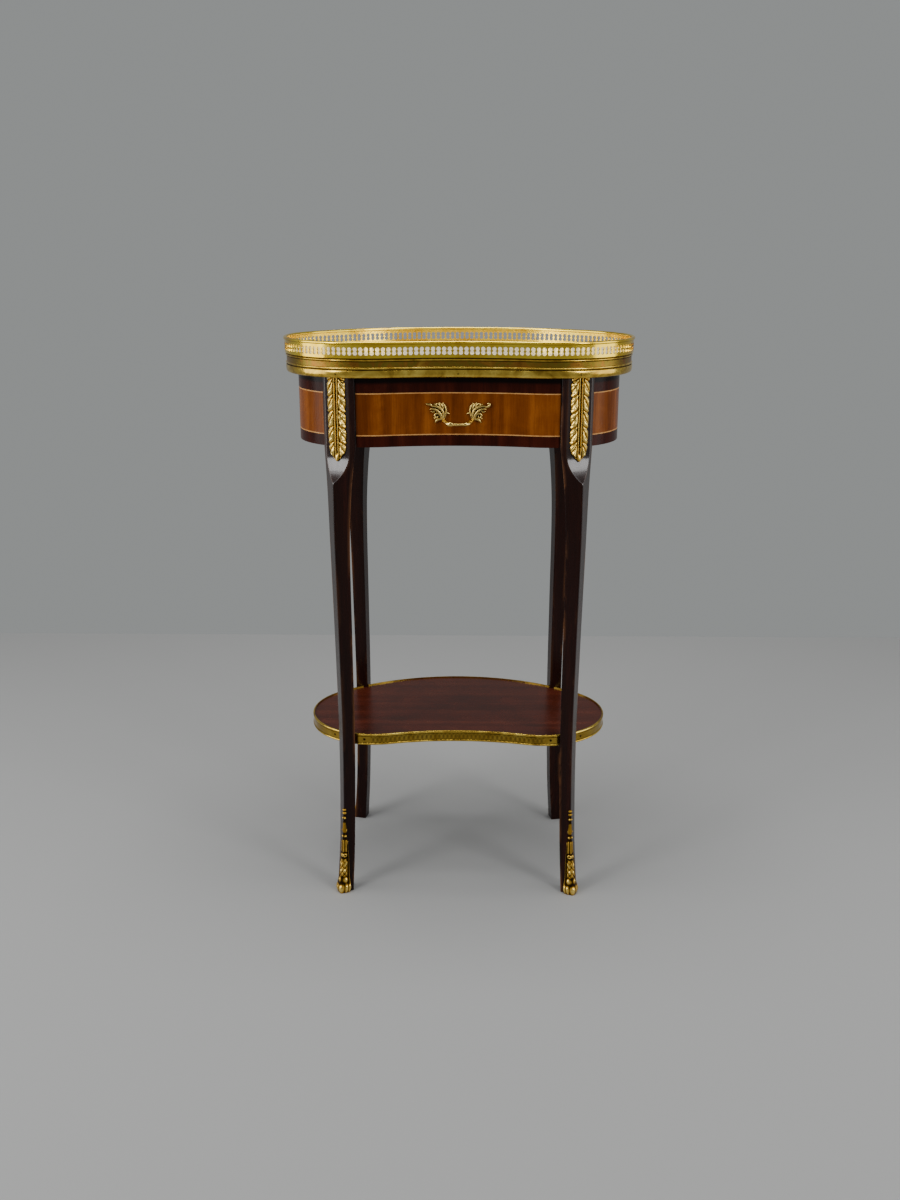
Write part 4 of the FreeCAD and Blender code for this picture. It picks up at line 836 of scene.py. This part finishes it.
def woodFace(x):  # y of the drawer front's face
    return plan["frontY"] + math.sqrt((plan["frontRadius"] + plan["apronInset"]) ** 2 - x * x)


def pathTube(bm, path, widths, flat, steps, twist, glow):  # tapered tube through a few points
    last = len(path) - 1
    stations = [(i, *point, width) for i, (point, width) in enumerate(zip(path, widths))]

    def place(across, up):
        at = up * last
        x, y, z, width = along(stations, at)
        ahead = Vector(along(stations, min(at + 0.02, last))[:3])
        behind = Vector(along(stations, max(at - 0.02, 0))[:3])
        run = (ahead - behind).normalized()
        sideways = run.cross(Vector((0, -1, 0)))
        sideways = sideways.normalized() if sideways.length > 0.05 else Vector((0, 0, 1))
        outwards = sideways.cross(run).normalized()
        angle = 2 * math.pi * across
        width *= 1 + twist * math.sin(3 * angle + 9 * up)
        ring = sideways * (math.cos(angle) * width) + outwards * (math.sin(angle) * width * flat)
        # painted highlight: the side of each tube that faces front and a little up is painted brighter
        shine = glow + 0.5 * ring.normalized().dot(Vector((0, -1, 0.2))) if ring.length > 0 else glow
        return (Vector((x, y, z)) + ring) * mm, shine

    verts = shapedGrid(bm, pull["sides"], last * steps, place)
    bmesh.ops.remove_doubles(bm, verts=verts, dist=weld)


def addBall(bm, spot, radii, shine):
    ball = bmesh.ops.create_uvsphere(bm, u_segments=14, v_segments=8, radius=1)["verts"]
    seat = Matrix.Translation(Vector(spot) * mm) @ Matrix.Diagonal((*(r * mm for r in radii), 1))
    bmesh.ops.transform(bm, matrix=seat, verts=ball)
    for vert in ball:
        vert[bm.verts.layers.float["relief"]] = shine


def buildPull():
    bm = newMesh()
    for sign, tip in ((1, pull["rightTip"]), (-1, pull["leftTip"])):
        # painted light: ribs and tips are painted bright and the ground behind them dark; below, the beads
        # get a bright painted highlight and the boss is painted dark
        rows = [(*row, 1.1, 0.35) for row in (*pull["ribs"], tip)]  # with flatness and glow
        rows += [(*row, 0.4, -0.35) for row in pull["ground"]]
        for line, widths, lift, flat, glow in rows:
            path = [(sign * x, woodFace(x) - lift, z) for x, z in line]
            pathTube(bm, path, widths, flat, pull["steps"], 0.0, glow)
        for x, z, radius in pull["beads"]:
            spot = (sign * x, woodFace(x) - pull["beadLift"], z)
            addBall(bm, spot, (radius, radius * 1.3, radius), 0.8)
        x, z = pull["boss"]
        addBall(bm, (sign * x, woodFace(x), z), pull["bossRadii"], 0.1)
    half = [(x, woodFace(0) - out, z) for x, out, z in pull["bow"]]
    path = half + [(-x, y, z) for x, y, z in half[-2::-1]]
    widths = pull["bowWidths"] + pull["bowWidths"][-2::-1]
    pathTube(bm, path, widths, 1.0, pull["bowSteps"], pull["bowTwist"], 0.45)
    for x in pull["rings"]:  # turned rings on the middle of the bow
        addBall(bm, (x, woodFace(0) - pull["ringOut"], pull["ringHeight"]), pull["ringRadii"], 0.7)
    closeUp(bm, bm.verts, fineWeld)
    addPiece("leafPull", bm, "pull_bronze", "drawer", ["drawer_pull"], 75)


buildRim()
buildEdge()
for legName, legTurn in legPlaces.items():
    buildLeg(legName, legTurn)
    buildFall(legName, legTurn)
    buildShoe(legName, legTurn)
buildBand()
buildPull()
print("pieces built")


# floor, soft light and the photograph's view
stageSet = {
    "front": -1.9, "back": 0.95, "side": 1.9, "tone": (0.29, 0.29, 0.288),
    "air": (0.40, 0.415, 0.413), "airStrength": 0.70,
}
floorMesh = bmesh.new()
bmesh.ops.create_grid(floorMesh, x_segments=1, y_segments=1, size=1)
halfDepth = (stageSet["back"] - stageSet["front"]) / 2
spread = Matrix.Diagonal((stageSet["side"], halfDepth, 1, 1))
lay = Matrix.Translation((0, stageSet["back"] - halfDepth, 0)) @ spread
bmesh.ops.transform(floorMesh, matrix=lay, verts=floorMesh.verts)
mesh = bpy.data.meshes.new("paleFloor")
floorMesh.to_mesh(mesh)
floorMesh.free()
floor = bpy.data.objects.new("paleFloor", mesh)
bpy.context.scene.collection.objects.link(floor)
floorFinish = makeFinish(
    "paleFloor", {"Base Color": colour(*stageSet["tone"]), "Specular IOR Level": 0.2},
    lambda place: {"Roughness": 0.55 + 0.15 * place.cloud(6, 2, 0.5)},
)
mesh.materials.append(floorFinish)

world = bpy.data.worlds.new("softAir")
bpy.context.scene.world = world
world.use_nodes = True
air = world.node_tree.nodes["Background"]
air.inputs["Color"].default_value = colour(*stageSet["air"])
air.inputs["Strength"].default_value = stageSet["airStrength"]

lamps = {
    "leftPanel": {"spot": (-1.85, -0.45, 1.05), "aim": (0, 0, 0.55), "size": (1.3, 1.9), "power": 22},
    "rightPanel": {"spot": (1.9, -0.4, 1.05), "aim": (0, 0, 0.55), "size": (1.3, 1.9), "power": 16},
    "leftBox": {"spot": (-1.75, -1.48, 1.42), "aim": (0, 0, 0.9), "size": (0.55, 1.25), "power": 20},
    "rightBox": {"spot": (1.66, -1.58, 1.42), "aim": (0, 0, 0.9), "size": (0.55, 1.25), "power": 18},
    "leftHigh": {"spot": (-1.18, -1.0, 2.3), "aim": (-0.15, -0.1, 0.57), "size": (0.6, 1.1), "power": 7},
    "rightHigh": {"spot": (1.12, -1.06, 2.3), "aim": (0.15, -0.1, 0.57), "size": (0.6, 1.1), "power": 6.5},
    "topPanel": {"spot": (0.0, 0.0, 2.6), "aim": (0, 0, 0.5), "size": (1.4, 1.0), "power": 34},
}
for lampName, setting in lamps.items():
    light = bpy.data.lights.new(lampName, "AREA")
    light.shape = "RECTANGLE"
    light.size, light.size_y = setting["size"]
    light.energy = setting["power"]
    lamp = bpy.data.objects.new(lampName, light)
    lamp.location = setting["spot"]
    lamp.rotation_euler = (Vector(setting["aim"]) - lamp.location).to_track_quat("-Z", "Y").to_euler()
    lamp.visible_camera = False
    bpy.context.scene.collection.objects.link(lamp)

view = {"spot": (0.0135, -1.5206, 0.8349), "pitch": 16.94, "yaw": 0.94, "lens": 35.13, "frame": 36.0}
lens = bpy.data.cameras.new("photoView")
lens.sensor_fit = "VERTICAL"
lens.sensor_height = view["frame"]
lens.lens = view["lens"]
camera = bpy.data.objects.new("photoView", lens)
camera.location = view["spot"]
camera.rotation_euler = (math.radians(90 - view["pitch"]), 0, math.radians(view["yaw"]))
bpy.context.scene.collection.objects.link(camera)
bpy.context.scene.camera = camera
print("floor, lamps and view set")
